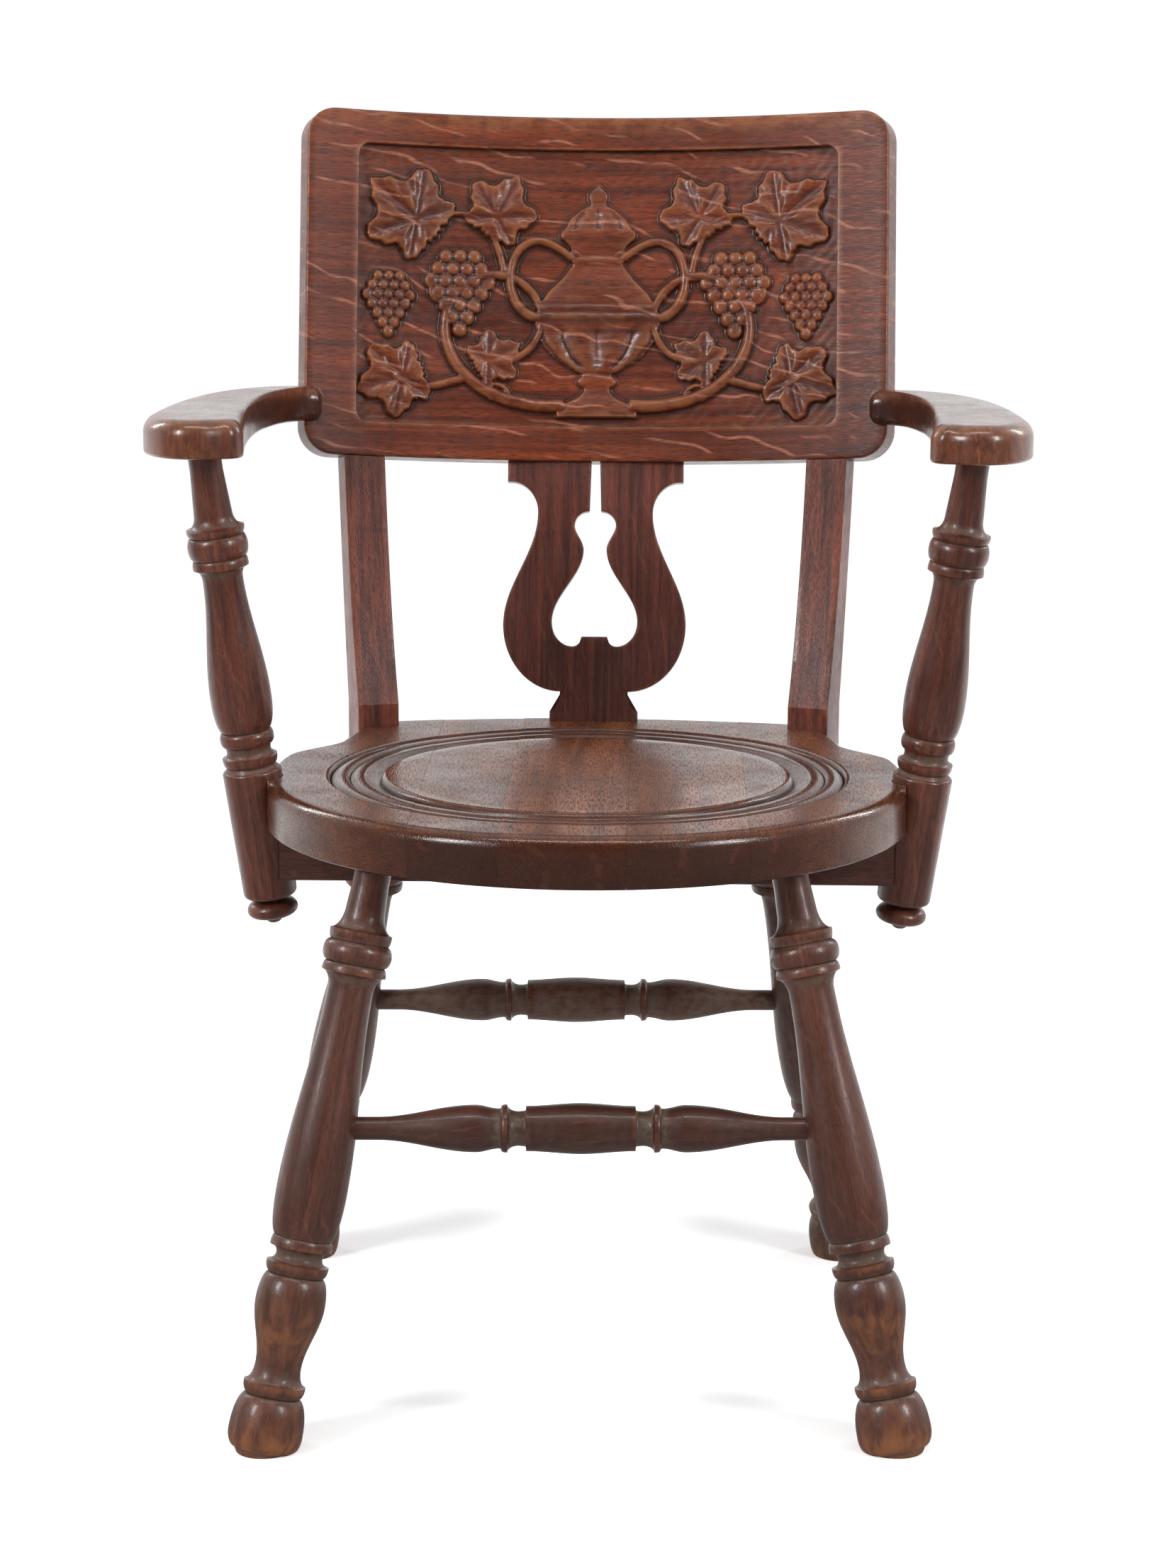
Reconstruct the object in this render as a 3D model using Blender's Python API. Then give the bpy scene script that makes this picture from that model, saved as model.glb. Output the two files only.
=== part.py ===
"""Carved oak armchair: a round turned seat of glued boards on four splayed turned legs, turned arm posts with
drop finials, swept arms, sawn back posts, a lyre splat and a curved, reclined back panel with a sunk field.

Metres, +Z up, the front of the chair looks along -Y. All sizes are set from the middle of the seat's turned
rings, and the whole chair is then slid along Y so that its origin is under the middle of its outline box.
"""

import math

import bmesh
import bpy
from mathutils import Matrix, Vector

# Clearances and resolution
GAP = 0.0003
TURNED_SIDES = 12
SCREW_SIDES = 8
RING_SIDES = 40
CORNER_STEPS = 4

# Seat: a round front, waisted sides and a bowed back edge
SEAT_HEIGHT = 0.445
SEAT_THICKNESS = 0.037
SEAT_RADIUS = 0.241
SEAT_SHOULDER_Y = 0.060
SEAT_WAIST_X = 0.1955
SEAT_WAIST_Y = 0.135
SEAT_FRONT_ROUND = 0.010
SEAT_BACK_ROUND = 0.003
SEAT_LOWER_ROUND = 0.002
SEAT_JOINT_LEFT_X = -0.122
SEAT_JOINT_INNER_LEFT_X = -0.057
SEAT_JOINT_INNER_RIGHT_X = 0.032
SEAT_JOINT_RIGHT_X = 0.118
SEAT_JOINTS = (SEAT_JOINT_LEFT_X, SEAT_JOINT_INNER_LEFT_X, SEAT_JOINT_INNER_RIGHT_X, SEAT_JOINT_RIGHT_X)
SEAT_BOARD_NAMES = ("left", "inner_left", "middle", "inner_right", "right")

# Turned mouldings on the seat, from the middle disc outwards
RING_DISC_RADIUS = 0.1500
RING_INNER_GROOVE_RADIUS = 0.1553
RING_INNER_RIDGE_RADIUS = 0.1650
RING_HOLLOW_RADIUS = 0.1780
RING_OUTER_RIDGE_RADIUS = 0.1848
RING_OUTER_GROOVE_RADIUS = 0.1930
RING_OUTER_RADIUS = 0.1977
RING_GROOVE_DEPTH = 0.0050
RING_HOLLOW_DEPTH = 0.0042
RING_RIDGE_DEPTH = 0.0010

# Dowels in the glued joints of the seat
DOWEL_DIAMETER = 0.008
DOWEL_LENGTH = 0.040
DOWEL_Y = (-0.090, 0.050)

# Legs: where their axes meet the floor and the seat's underside
FRONT_FOOT_X = 0.2262
FRONT_FOOT_Y = -0.2370
FRONT_LEG_TOP_X = 0.1475
FRONT_LEG_TOP_Y = -0.1540
BACK_FOOT_X = 0.2250
BACK_FOOT_Y = 0.2040
BACK_LEG_TOP_X = 0.1470
BACK_LEG_TOP_Y = 0.1090
LEG_SET_TURN = math.radians(2.0)
LEG_SET_SHIFT = -0.006
LEG_SOCKET_DEPTH = 0.024
LEG_TOP_DIAMETER = 0.0263
LEG_NECK_LENGTH = 0.016
FOOT_DIAMETER = 0.0440
FOOT_ALLOWANCE = 0.012
# Each row of a turning is a shape, its length and the diameter that it ends on, from the floor up
LEG_LOWER_TURNING = (
    ("quick", 0.0090, 0.0532),
    ("line", 0.0050, 0.0525),
    ("slow", 0.0253, 0.0370),
    ("quick", 0.0075, 0.0443),
    ("line", 0.0012, 0.0443),
    ("quick", 0.0126, 0.0330),
    ("wave", 0.0454, 0.0500),
    ("slow", 0.0204, 0.0380),
    ("quick", 0.0070, 0.0447),
    ("line", 0.0012, 0.0447),
    ("quick", 0.0057, 0.0332),
    ("slow", 0.0054, 0.0441),
    ("line", 0.0012, 0.0441),
    ("slow", 0.0062, 0.0400),
    ("quick", 0.0350, 0.0506),
)
LEG_NECK_DIAMETER = 0.0326
LEG_UPPER_TURNING = (
    ("slow", 0.0121, 0.0463),
    ("line", 0.0010, 0.0463),
    ("slow", 0.0059, 0.0410),
    ("quick", 0.0078, 0.0497),
    ("slow", 0.0078, 0.0410),
    ("quick", 0.0070, 0.0449),
    ("line", 0.0010, 0.0449),
    ("quick", 0.0170, 0.0283),
)

# Stretchers between the two front legs and the two back legs
FRONT_STRETCHER_HEIGHT = 0.2235
BACK_STRETCHER_HEIGHT = 0.2300
STRETCHER_END_DIAMETER = 0.0165
STRETCHER_END_LENGTH = 0.034
STRETCHER_STOP = 0.004
STRETCHER_DRUM_DIAMETER = 0.0355
# Half of the turning, from the middle of the drum outwards
STRETCHER_TURNING = (
    ("line", 0.0318, 0.0350),
    ("slow", 0.0080, 0.0270),
    ("line", 0.0010, 0.0225),
    ("quick", 0.0040, 0.0190),
    ("slow", 0.0065, 0.0270),
    ("quick", 0.0035, 0.0320),
    ("slow", 0.0040, 0.0250),
    ("wave", 0.0160, 0.0340),
)

# Arm posts: a point of the axis at the seat's top, and one at the arm's underside
ARM_POST_OUTSET = 0.0095
ARM_POST_X = SEAT_RADIUS + ARM_POST_OUTSET
ARM_POST_Y = -0.0200
ARM_POST_SPLAY = 0.0310
ARM_POST_TOP_X = ARM_POST_X + ARM_POST_SPLAY
ARM_POST_TOP_Y = -0.0380
ARM_POST_BELOW_SEAT = 0.0945
ARM_POST_TENON = 0.016
ARM_POST_BOTTOM_DIAMETER = 0.0330
ARM_POST_LOWER_TURNING = (
    ("quick", 0.0040, 0.0403),
    ("line", 0.0930, 0.0442),
    ("slow", 0.0028, 0.0400),
    ("line", 0.0030, 0.0360),
    ("quick", 0.0060, 0.0412),
    ("line", 0.0010, 0.0412),
    ("quick", 0.0045, 0.0330),
    ("slow", 0.0045, 0.0360),
    ("quick", 0.0055, 0.0404),
    ("slow", 0.0055, 0.0345),
    ("quick", 0.0250, 0.0456),
)
ARM_POST_NECK_DIAMETER = 0.0300
ARM_POST_UPPER_TURNING = (
    ("slow", 0.0086, 0.0415),
    ("line", 0.0010, 0.0415),
    ("slow", 0.0060, 0.0380),
    ("quick", 0.0085, 0.0447),
    ("slow", 0.0085, 0.0380),
    ("quick", 0.0048, 0.0430),
    ("line", 0.0010, 0.0430),
    ("quick", 0.0102, 0.0284),
)
ARM_POST_NECK_LENGTH = 0.0316
ARM_POST_TOP_DIAMETER = 0.0244

# Drop finials under the arm posts
DROP_TENON_DIAMETER = 0.010
DROP_TENON_LENGTH = 0.016
DROP_NIPPLE_DIAMETER = 0.005
DROP_TURNING = (
    ("line", 0.0015, 0.0105),
    ("line", 0.0006, 0.0150),
    ("quick", 0.0080, 0.0385),
    ("slow", 0.0060, 0.0230),
    ("quick", 0.0050, 0.0110),
)

# Rail under the seat, from arm post to arm post
ARM_POST_NOTCH_DEPTH = 0.011
RAIL_HALF_LENGTH = SEAT_RADIUS - ARM_POST_NOTCH_DEPTH
RAIL_DEPTH = 0.041
RAIL_WIDTH = 0.034

# Back panel: curved in plan, leaning back, with a sunk field
PANEL_Y = 0.265
PANEL_Z = 0.6535
PANEL_HEIGHT = 0.2825
PANEL_HALF_WIDTH = 0.2390
PANEL_CURVE_RADIUS = 0.690
PANEL_THICKNESS = 0.025
PANEL_LEAN = math.radians(13.0)
PANEL_CORNER = 0.024
FIELD_SIDE_BORDER = 0.0425
FIELD_TOP_BORDER = 0.027
FIELD_BOTTOM_BORDER = 0.028
FIELD_CORNER = 0.010
FIELD_DEPTH = 0.007

# Back posts: sawn, turned to face the sitter, lapped over the seat's back corners
BACK_POST_INSET = 0.066
BACK_POST_X = PANEL_HALF_WIDTH - BACK_POST_INSET
BACK_POST_Y = 0.198
BACK_POST_TURN = math.radians(18.0)
BACK_POST_WIDTH = 0.0335
BACK_POST_FOOT_DEPTH = 0.038
BACK_POST_TOP_DEPTH = 0.026
BACK_POST_HEEL = 0.017
BACK_POST_LOWER_LEAN = math.radians(20.0)
BACK_POST_UPPER_LEAN = math.radians(8.0)
BACK_POST_TENON_WIDTH = 0.020
BACK_POST_TENON_THICKNESS = 0.010
BACK_POST_TENON_LENGTH = 0.025
BACK_POST_STEPS = 6

# Lyre splat: half widths, and heights along the splat from the seat
SPLAT_Y = 0.2235
SPLAT_THICKNESS = 0.013
SPLAT_SETBACK = 0.0045
SPLAT_SEAT_HOUSING = 0.015
SPLAT_PANEL_HOUSING = 0.012
SPLAT_WALL = 0.006
SPLAT_FOOT_X = 0.0360
SPLAT_FOOT_HEIGHT = 0.0080
SPLAT_ANKLE_X = 0.0277
SPLAT_ANKLE_HEIGHT = 0.0248
SPLAT_BOWL_X = 0.0746
SPLAT_BOWL_HEIGHT = 0.0790
SPLAT_NECK_X = 0.0469
SPLAT_NECK_HEIGHT = 0.1710
SPLAT_HORN_X = 0.0695
SPLAT_HORN_DROP = 0.0165
SPLAT_TOP_X = 0.0718
SLIT_TOP_X = 0.0034
SLIT_FOOT_X = 0.0047
SLIT_FOOT_HEIGHT = 0.1720
NOTCH_X = 0.0168
NOTCH_HEIGHT = 0.1610
PINCH_X = 0.0094
PINCH_HEIGHT = 0.1410
HEART_X = 0.0349
HEART_HEIGHT = 0.0820
HEART_FLOOR_X = 0.0180
HEART_FLOOR_HEIGHT = 0.0616
KEY_X = 0.0105
KEY_HEIGHT = 0.0696

# Arms: flat, wide in front, swept in behind to lap the panel's face
ARM_TOP = 0.718
ARM_THICKNESS = 0.0278
ARM_RISE = math.radians(0.5)
ARM_INNER_REACH = 0.0365
ARM_INNER_X = ARM_POST_TOP_X - ARM_INNER_REACH
ARM_OUTER_REACH = 0.0410
ARM_OUTER_X = ARM_POST_TOP_X + ARM_OUTER_REACH
ARM_FRONT_Y = -0.120
ARM_FRONT_BOW = 0.012
ARM_INNER_CORNER = 0.007
ARM_OUTER_CORNER = 0.042
ARM_SWEEP_Y = -0.050
ARM_TAIL_LAP = 0.0144
PANEL_END_X = PANEL_CURVE_RADIUS * math.sin(PANEL_HALF_WIDTH / PANEL_CURVE_RADIUS)
ARM_TAIL_X = PANEL_END_X - ARM_TAIL_LAP
ARM_TAIL_DEPTH = 0.020
ARM_WAIST = 0.018
ARM_TOP_ROUND = 0.009
ARM_INNER_ROUND = 0.003
ARM_LOWER_ROUND = 0.003
ARM_CURVE_STEPS = 12

# Screws and the plugs over the arm post screws
SCREW_HEAD_DIAMETER = 0.008
SCREW_HEAD_HEIGHT = 0.004
SCREW_SHANK_DIAMETER = 0.0042
SCREW_TIP_LENGTH = 0.006
SCREW_TIP_DIAMETER = 0.001
PLUG_DIAMETER = 0.0095
PLUG_LENGTH = 0.006
ARM_POST_SCREW_BITE = 0.022
BACK_POST_SCREW_BITE = 0.020
BACK_POST_SCREW_SPACING = 0.016
ARM_SCREW_BITE = 0.012
ARM_SCREW_SPACING = 0.012
ARM_SCREW_INSET = 0.013
RAIL_SCREW_BITE = 0.020
RAIL_SCREW_X = (-0.090, -0.012, 0.085)

# Colours of the stained oak and of the screws
DARK_OAK = (0.115, 0.036, 0.018)
RED_OAK = (0.140, 0.043, 0.020)
WORN_OAK = (0.150, 0.055, 0.026)
STEEL = (0.30, 0.28, 0.26)

# Places that follow from the sizes above
SEAT_UNDER = SEAT_HEIGHT - SEAT_THICKNESS
SEAT_BACK_Y = SPLAT_Y + SPLAT_THICKNESS + SPLAT_WALL
ARM_UNDER = ARM_TOP - ARM_THICKNESS
RAIL_BOTTOM = SEAT_UNDER - GAP - RAIL_DEPTH


def remove_everything():
    """Empties the scene of objects."""
    for item in list(bpy.data.objects):
        bpy.data.objects.remove(item, do_unlink=True)


def finish(name, colour, roughness, metallic=0.0):
    """A plain material with the colour and gloss of one finish."""
    material = bpy.data.materials.new(name)
    material.use_nodes = True
    shader = material.node_tree.nodes["Principled BSDF"]
    shader.inputs["Base Color"].default_value = (*colour, 1.0)
    shader.inputs["Roughness"].default_value = roughness
    shader.inputs["Metallic"].default_value = metallic
    return material


def mesh_from(name, bm):
    """Turns a bmesh into a mesh with outward faces and smooth round stretches."""
    bmesh.ops.remove_doubles(bm, verts=bm.verts, dist=0.00002)
    bmesh.ops.recalc_face_normals(bm, faces=bm.faces)
    mesh = bpy.data.meshes.new(name)
    bm.to_mesh(mesh)
    bm.free()
    mesh.shade_smooth()
    mesh.set_sharp_from_angle(angle=math.radians(35))
    return mesh


def place(name, bm, material, root, matrix=None):
    """Adds one piece of the chair, placed by its location and rotation under the root."""
    piece = bpy.data.objects.new(name, mesh_from(name, bm))
    if material is not None:
        piece.data.materials.append(material)
    bpy.context.scene.collection.objects.link(piece)
    piece.parent = root
    if matrix is not None:
        piece.matrix_local = matrix
    return piece


def cutter(name, bm, root, matrix=None):
    """Adds a hidden shape that is taken out of, or added to, other pieces."""
    shape = place(name, bm, None, root, matrix)
    shape.hide_render = True
    shape.display_type = "WIRE"
    return shape


def combine(piece, shapes, operation="DIFFERENCE"):
    """Cuts the hidden shapes out of a piece, or joins them to it, one after another."""
    for shape in shapes:
        modifier = piece.modifiers.new(shape.name, "BOOLEAN")
        modifier.operation = operation
        modifier.solver = "EXACT"
        modifier.object = shape


def axis_matrix(start, end):
    """A frame at start whose Z axis points at end."""
    direction = Vector(end) - Vector(start)
    turn = Vector((0, 0, 1)).rotation_difference(direction.normalized())
    return Matrix.Translation(start) @ turn.to_matrix().to_4x4()


def box(low, high):
    """A rectangular block between two corners."""
    bm = bmesh.new()
    centre = (Vector(low) + Vector(high)) / 2
    size = Vector(high) - Vector(low)
    frame = Matrix.Translation(centre) @ Matrix.Diagonal((*size, 1.0))
    bmesh.ops.create_cube(bm, size=1.0, matrix=frame)
    return bm


# Turned work


def turning_steps(shape):
    """Pairs of shares of length and of change in radius along one row of a turning."""
    if shape == "line":
        return [(1.0, 1.0)]
    if shape == "wave":
        shares = [step / 4 for step in range(1, 5)]
        return [(share, (1 - math.cos(math.pi * share)) / 2) for share in shares]
    angles = [math.pi / 4, math.pi / 2]
    if shape == "quick":
        return [(1 - math.cos(angle), math.sin(angle)) for angle in angles]
    return [(math.sin(angle), 1 - math.cos(angle)) for angle in angles]


def turning_length(rows):
    """Length of a turning along its axis."""
    return sum(length for shape, length, diameter in rows)


def turning_profile(first_diameter, rows, start=0.0):
    """Points (radius, height) of a turned outline from its lower end up."""
    points = [(first_diameter / 2, start)]
    for shape, length, diameter in rows:
        radius, height = points[-1]
        for along, change in turning_steps(shape):
            points.append((radius + (diameter / 2 - radius) * change, height + length * along))
    return points


def spin_profile(bm, points, sides):
    """Spins a line of points (radius, height) once round the Z axis."""
    verts = [bm.verts.new((radius, 0, height)) for radius, height in points]
    edges = [bm.edges.new(pair) for pair in zip(verts, verts[1:])]
    bmesh.ops.spin(
        bm, geom=verts + edges, axis=(0, 0, 1), cent=(0, 0, 0), angle=2 * math.pi, steps=sides, use_merge=True
    )


def turned(points, sides=TURNED_SIDES, grow=0.0):
    """A solid of revolution from points (radius, height), made fatter and longer by grow."""
    outline = [(radius + grow, height) for radius, height in points]
    outline[0] = (outline[0][0], outline[0][1] - grow)
    outline[-1] = (outline[-1][0], outline[-1][1] + grow)
    bm = bmesh.new()
    spin_profile(bm, [(0.0, outline[0][1]), *outline, (0.0, outline[-1][1])], sides)
    return bm


def rod(diameter, low, high, grow=0.0, sides=TURNED_SIDES):
    """A plain round bar along Z."""
    return turned([(diameter / 2, low), (diameter / 2, high)], sides, grow)


# Flat work


def inset_outline(points, insets):
    """Moves each point of a counter-clockwise outline inwards, square to its neighbours."""
    moved = []
    for index, (point, inset) in enumerate(zip(points, insets)):
        along = Vector(points[(index + 1) % len(points)]) - Vector(points[index - 1])
        along.normalize()
        moved.append((point[0] - along.y * inset, point[1] + along.x * inset))
    return moved


def rounded_slab(points, low, high, top_rounds, lower_round, steps=3):
    """A slab with the given outline, its upper edge rounded over by a radius for each point."""
    levels = []
    levels.append((inset_outline(points, [lower_round] * len(points)), [low] * len(points)))
    levels.append((points, [low + lower_round] * len(points)))
    for step in range(steps + 1):
        angle = math.pi / 2 * step / steps
        insets = [radius * (1 - math.cos(angle)) for radius in top_rounds]
        heights = [high - radius * (1 - math.sin(angle)) for radius in top_rounds]
        levels.append((inset_outline(points, insets), heights))
    bm = bmesh.new()
    rings = [[bm.verts.new((*point, height)) for point, height in zip(*level)] for level in levels]
    for lower, upper in zip(rings, rings[1:]):
        for index in range(len(points)):
            after = (index + 1) % len(points)
            bm.faces.new((lower[index], lower[after], upper[after], upper[index]))
    bm.faces.new(list(reversed(rings[0])))
    bm.faces.new(rings[-1])
    return bm


def board(points, thickness):
    """A flat board: an outline in its own X and Z, with its thickness along Y."""
    bm = bmesh.new()
    front = [bm.verts.new((x, 0, z)) for x, z in points]
    face = bm.faces.new(front)
    pushed = bmesh.ops.extrude_face_region(bm, geom=[face])
    moved = [item for item in pushed["geom"] if isinstance(item, bmesh.types.BMVert)]
    bmesh.ops.translate(bm, verts=moved, vec=(0, thickness, 0))
    return bm


def cubic(start, first, second, end, steps):
    """Points of a cubic curve after its start, up to and with its end."""
    points = []
    for step in range(1, steps + 1):
        share = step / steps
        rest = 1 - share
        weights = (rest**3, 3 * rest**2 * share, 3 * rest * share**2, share**3)
        corners = (start, first, second, end)
        points.append(tuple(sum(w * c[axis] for w, c in zip(weights, corners)) for axis in (0, 1)))
    return points


def quarter(start, end, steps, leave_upright):
    """Points of a quarter ellipse after its start; it leaves start upright or level, and meets end the other way."""
    points = []
    for step in range(1, steps + 1):
        angle = math.pi / 2 * step / steps
        slow, quick = 1 - math.cos(angle), math.sin(angle)
        across, up = (slow, quick) if leave_upright else (quick, slow)
        points.append((start[0] + (end[0] - start[0]) * across, start[1] + (end[1] - start[1]) * up))
    return points


def wave(start, end, steps):
    """Points of an S curve after its start, upright at both ends."""
    points = []
    for step in range(1, steps + 1):
        share = step / steps
        swing = (1 - math.cos(math.pi * share)) / 2
        points.append((start[0] + (end[0] - start[0]) * swing, start[1] + (end[1] - start[1]) * share))
    return points


# Axes of the slanting pieces


def leg_axis(side, back):
    """Foot and top of a leg's axis, the top at the seat's underside. The set of legs stands a little askew."""
    if back:
        foot, top = (BACK_FOOT_X, BACK_FOOT_Y), (BACK_LEG_TOP_X, BACK_LEG_TOP_Y)
    else:
        foot, top = (FRONT_FOOT_X, FRONT_FOOT_Y), (FRONT_LEG_TOP_X, FRONT_LEG_TOP_Y)
    frame = Matrix.Translation((LEG_SET_SHIFT, 0, 0)) @ Matrix.Rotation(LEG_SET_TURN, 4, "Z")
    return frame @ Vector((side * foot[0], foot[1], 0)), frame @ Vector((side * top[0], top[1], SEAT_UNDER))


def point_at_height(start, end, height):
    """Point of a line at a height."""
    return start + (end - start) * ((height - start.z) / (end.z - start.z))


def arm_post_axis(side):
    """Lower end of an arm post's axis, and the point where it meets the arm's underside."""
    at_seat = Vector((side * ARM_POST_X, ARM_POST_Y, SEAT_HEIGHT))
    at_arm = Vector((side * ARM_POST_TOP_X, ARM_POST_TOP_Y, ARM_UNDER))
    direction = (at_arm - at_seat).normalized()
    return at_seat - direction * ARM_POST_BELOW_SEAT, at_arm


def panel_matrix():
    """Frame of the panel: X across, Y back through its thickness, Z up its lean, from its lower front middle."""
    return Matrix.Translation((0, PANEL_Y, PANEL_Z)) @ Matrix.Rotation(-PANEL_LEAN, 4, "X")


def panel_point(along, height, depth):
    """Point of the panel in its own frame, by arc length along the front face, height and depth."""
    angle = along / PANEL_CURVE_RADIUS
    radius = PANEL_CURVE_RADIUS + depth
    return Vector((radius * math.sin(angle), radius * math.cos(angle) - PANEL_CURVE_RADIUS, height))


def panel_frame(along, height, depth):
    """Frame on the panel: X along its curve, Y back through it, Z up it, in the chair's frame."""
    turn = Matrix.Rotation(-along / PANEL_CURVE_RADIUS, 4, "Z")
    return panel_matrix() @ Matrix.Translation(panel_point(along, height, depth)) @ turn


def back_post_frame(side):
    """Frame of a back post at the seat's top: Y back along its depth, X across it."""
    start = Matrix.Translation((side * BACK_POST_X, BACK_POST_Y, SEAT_HEIGHT))
    return start @ Matrix.Rotation(-side * BACK_POST_TURN, 4, "Z")


def back_post_reach():
    """Arc length along the panel where a back post's middle meets it, and how far back that is from the post's foot."""
    low, high = 0.0, PANEL_HALF_WIDTH
    for _ in range(40):
        along = (low + high) / 2
        point = panel_matrix() @ panel_point(along, 0, PANEL_THICKNESS / 2)
        across = (point.x - BACK_POST_X) * math.cos(BACK_POST_TURN)
        across -= (point.y - BACK_POST_Y) * math.sin(BACK_POST_TURN)
        low, high = (along, high) if across < 0 else (low, along)
    point = panel_matrix() @ panel_point(along, 0, PANEL_THICKNESS / 2)
    back = (point.x - BACK_POST_X) * math.sin(BACK_POST_TURN)
    back += (point.y - BACK_POST_Y) * math.cos(BACK_POST_TURN)
    return along, back, point.z


def splat_matrix():
    """Frame of the splat: its Z runs up its front face from the seat to the panel's lower edge. Also its height."""
    low = Vector((0, SPLAT_Y, SEAT_HEIGHT))
    high = panel_matrix() @ Vector((0, SPLAT_SETBACK, 0))
    lean = math.atan2(high.y - low.y, high.z - low.z)
    return Matrix.Translation(low) @ Matrix.Rotation(-lean, 4, "X"), (high - low).length


# Screws


def screw(length, grow=0.0):
    """A countersunk wood screw along -Z with its head's face at the origin."""
    head, shank = SCREW_HEAD_DIAMETER / 2, SCREW_SHANK_DIAMETER / 2
    points = [(SCREW_TIP_DIAMETER / 2, -length), (shank, SCREW_TIP_LENGTH - length)]
    points += [(shank, -SCREW_HEAD_HEIGHT), (head, -SCREW_HEAD_HEIGHT / 8), (head, 0.0)]
    return turned(points, SCREW_SIDES, grow)


def screw_hole(length, beyond):
    """Room for a screw, with a counterbore of the plug's diameter running on beyond its head."""
    head, shank = PLUG_DIAMETER / 2 + GAP, SCREW_SHANK_DIAMETER / 2 + GAP
    points = [(shank, -length - GAP), (shank, -SCREW_HEAD_HEIGHT - GAP)]
    points += [(head, -SCREW_HEAD_HEIGHT / 8 - GAP), (head, beyond)]
    return turned(points, SCREW_SIDES)


def frame_along(point, direction):
    """A frame at a point whose Z looks along a direction."""
    return axis_matrix(Vector(point), Vector(point) + Vector(direction))


def arm_post_screws(side):
    """Frames and lengths of the screws through an arm post: one into the seat's edge, one into the rail's end."""
    foot, top = arm_post_axis(side)
    rows = []
    for height in (SEAT_UNDER + SEAT_THICKNESS / 2, RAIL_BOTTOM + RAIL_DEPTH / 2):
        axis = point_at_height(foot, top, height)
        head = Vector((axis.x + side * 0.45 * ARM_POST_BOTTOM_DIAMETER - side * PLUG_LENGTH, axis.y, height))
        length = abs(head.x) - RAIL_HALF_LENGTH + ARM_POST_SCREW_BITE
        rows.append((frame_along(head, (side, 0, 0)), length))
    return rows


def back_post_screws(side):
    """Frames and lengths of the screws through a back post's foot into the seat's back edge."""
    rows = []
    for offset in (-0.5, 0.5):
        height = -SEAT_THICKNESS / 2 + offset * BACK_POST_SCREW_SPACING
        frame = back_post_frame(side) @ Matrix.Translation((0, BACK_POST_FOOT_DEPTH - GAP, height))
        rows.append((frame @ Matrix.Rotation(-math.pi / 2, 4, "X"), BACK_POST_FOOT_DEPTH + BACK_POST_SCREW_BITE))
    return rows


def arm_screws(side):
    """Frames and lengths of the screws through the panel's end into an arm's tail."""
    middle = (panel_matrix().inverted() @ Vector((0, PANEL_Y, ARM_TOP - ARM_THICKNESS / 2))).z
    middle += math.sin(PANEL_LEAN) * (PANEL_Y - arm_back_y()) / 2
    rows = []
    for offset in (-0.5, 0.5):
        along = side * (PANEL_HALF_WIDTH - ARM_SCREW_INSET)
        frame = panel_frame(along, middle + offset * ARM_SCREW_SPACING, PANEL_THICKNESS - GAP)
        rows.append((frame @ Matrix.Rotation(-math.pi / 2, 4, "X"), PANEL_THICKNESS + ARM_SCREW_BITE))
    return rows


def rail_screws():
    """Frames and lengths of the screws up through the rail into the seat."""
    rail_y = rail_middle_y()
    rows = []
    for x in RAIL_SCREW_X:
        frame = frame_along((x, rail_y, RAIL_BOTTOM + GAP), (0, 0, -1))
        rows.append((frame, RAIL_DEPTH + RAIL_SCREW_BITE))
    return rows


def place_screws(name, rows, material, root):
    """A numbered screw for each frame and length."""
    for number, (frame, length) in enumerate(rows, 1):
        place(f"{name}_{number}", screw(length), material, root, frame)


def screw_cutters(name, rows, beyond, root):
    """The holes for a set of screws, as hidden shapes."""
    return [
        cutter(f"{name}_hole_{index}", screw_hole(length, beyond), root, frame)
        for index, (frame, length) in enumerate(rows)
    ]


# Seat


def back_post_foot_centre():
    """Middle of the right back post's foot, where the seat's back corner is hidden."""
    return back_post_frame(1) @ Vector((0, BACK_POST_FOOT_DEPTH / 2, 0))


def seat_half_outline():
    """Right half of the seat's outline, from the front middle to the back middle."""
    last = math.asin(SEAT_SHOULDER_Y / SEAT_RADIUS)
    steps = 22
    angles = [-math.pi / 2 + (last + math.pi / 2) * step / steps for step in range(steps + 1)]
    points = [(SEAT_RADIUS * math.cos(angle), SEAT_RADIUS * math.sin(angle)) for angle in angles]
    points += wave(points[-1], (SEAT_WAIST_X, SEAT_WAIST_Y), 6)
    corner = back_post_foot_centre()
    points.append((corner.x, corner.y))
    for share in (0.75, 0.5, 0.25, 0.0):
        points.append((corner.x * share, SEAT_BACK_Y + (corner.y - SEAT_BACK_Y) * share**2))
    return points


def seat_blank():
    """The glued seat before it is cut: its outline with the upper edge rounded, less so at the back."""
    right = seat_half_outline()
    left = [(-x, y) for x, y in reversed(right[1:-1])]
    points = right + left
    rounds = []
    for x, y in points:
        share = min(max(y / SEAT_SHOULDER_Y, 0), 1)
        rounds.append(SEAT_FRONT_ROUND + (SEAT_BACK_ROUND - SEAT_FRONT_ROUND) * share)
    return rounded_slab(points, SEAT_UNDER, SEAT_HEIGHT, rounds, SEAT_LOWER_ROUND)


def slice_board(bm, low, high):
    """Keeps what lies between two upright planes across X, with the cuts closed."""
    for place_x, normal in ((low, -1), (high, 1)):
        if place_x is None:
            continue
        everything = bm.verts[:] + bm.edges[:] + bm.faces[:]
        bmesh.ops.bisect_plane(
            bm, geom=everything, plane_co=(place_x, 0, 0), plane_no=(normal, 0, 0), clear_outer=True
        )
        rim = [edge for edge in bm.edges if edge.is_boundary]
        bmesh.ops.edgeloop_fill(bm, edges=rim)
    return bm


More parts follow.
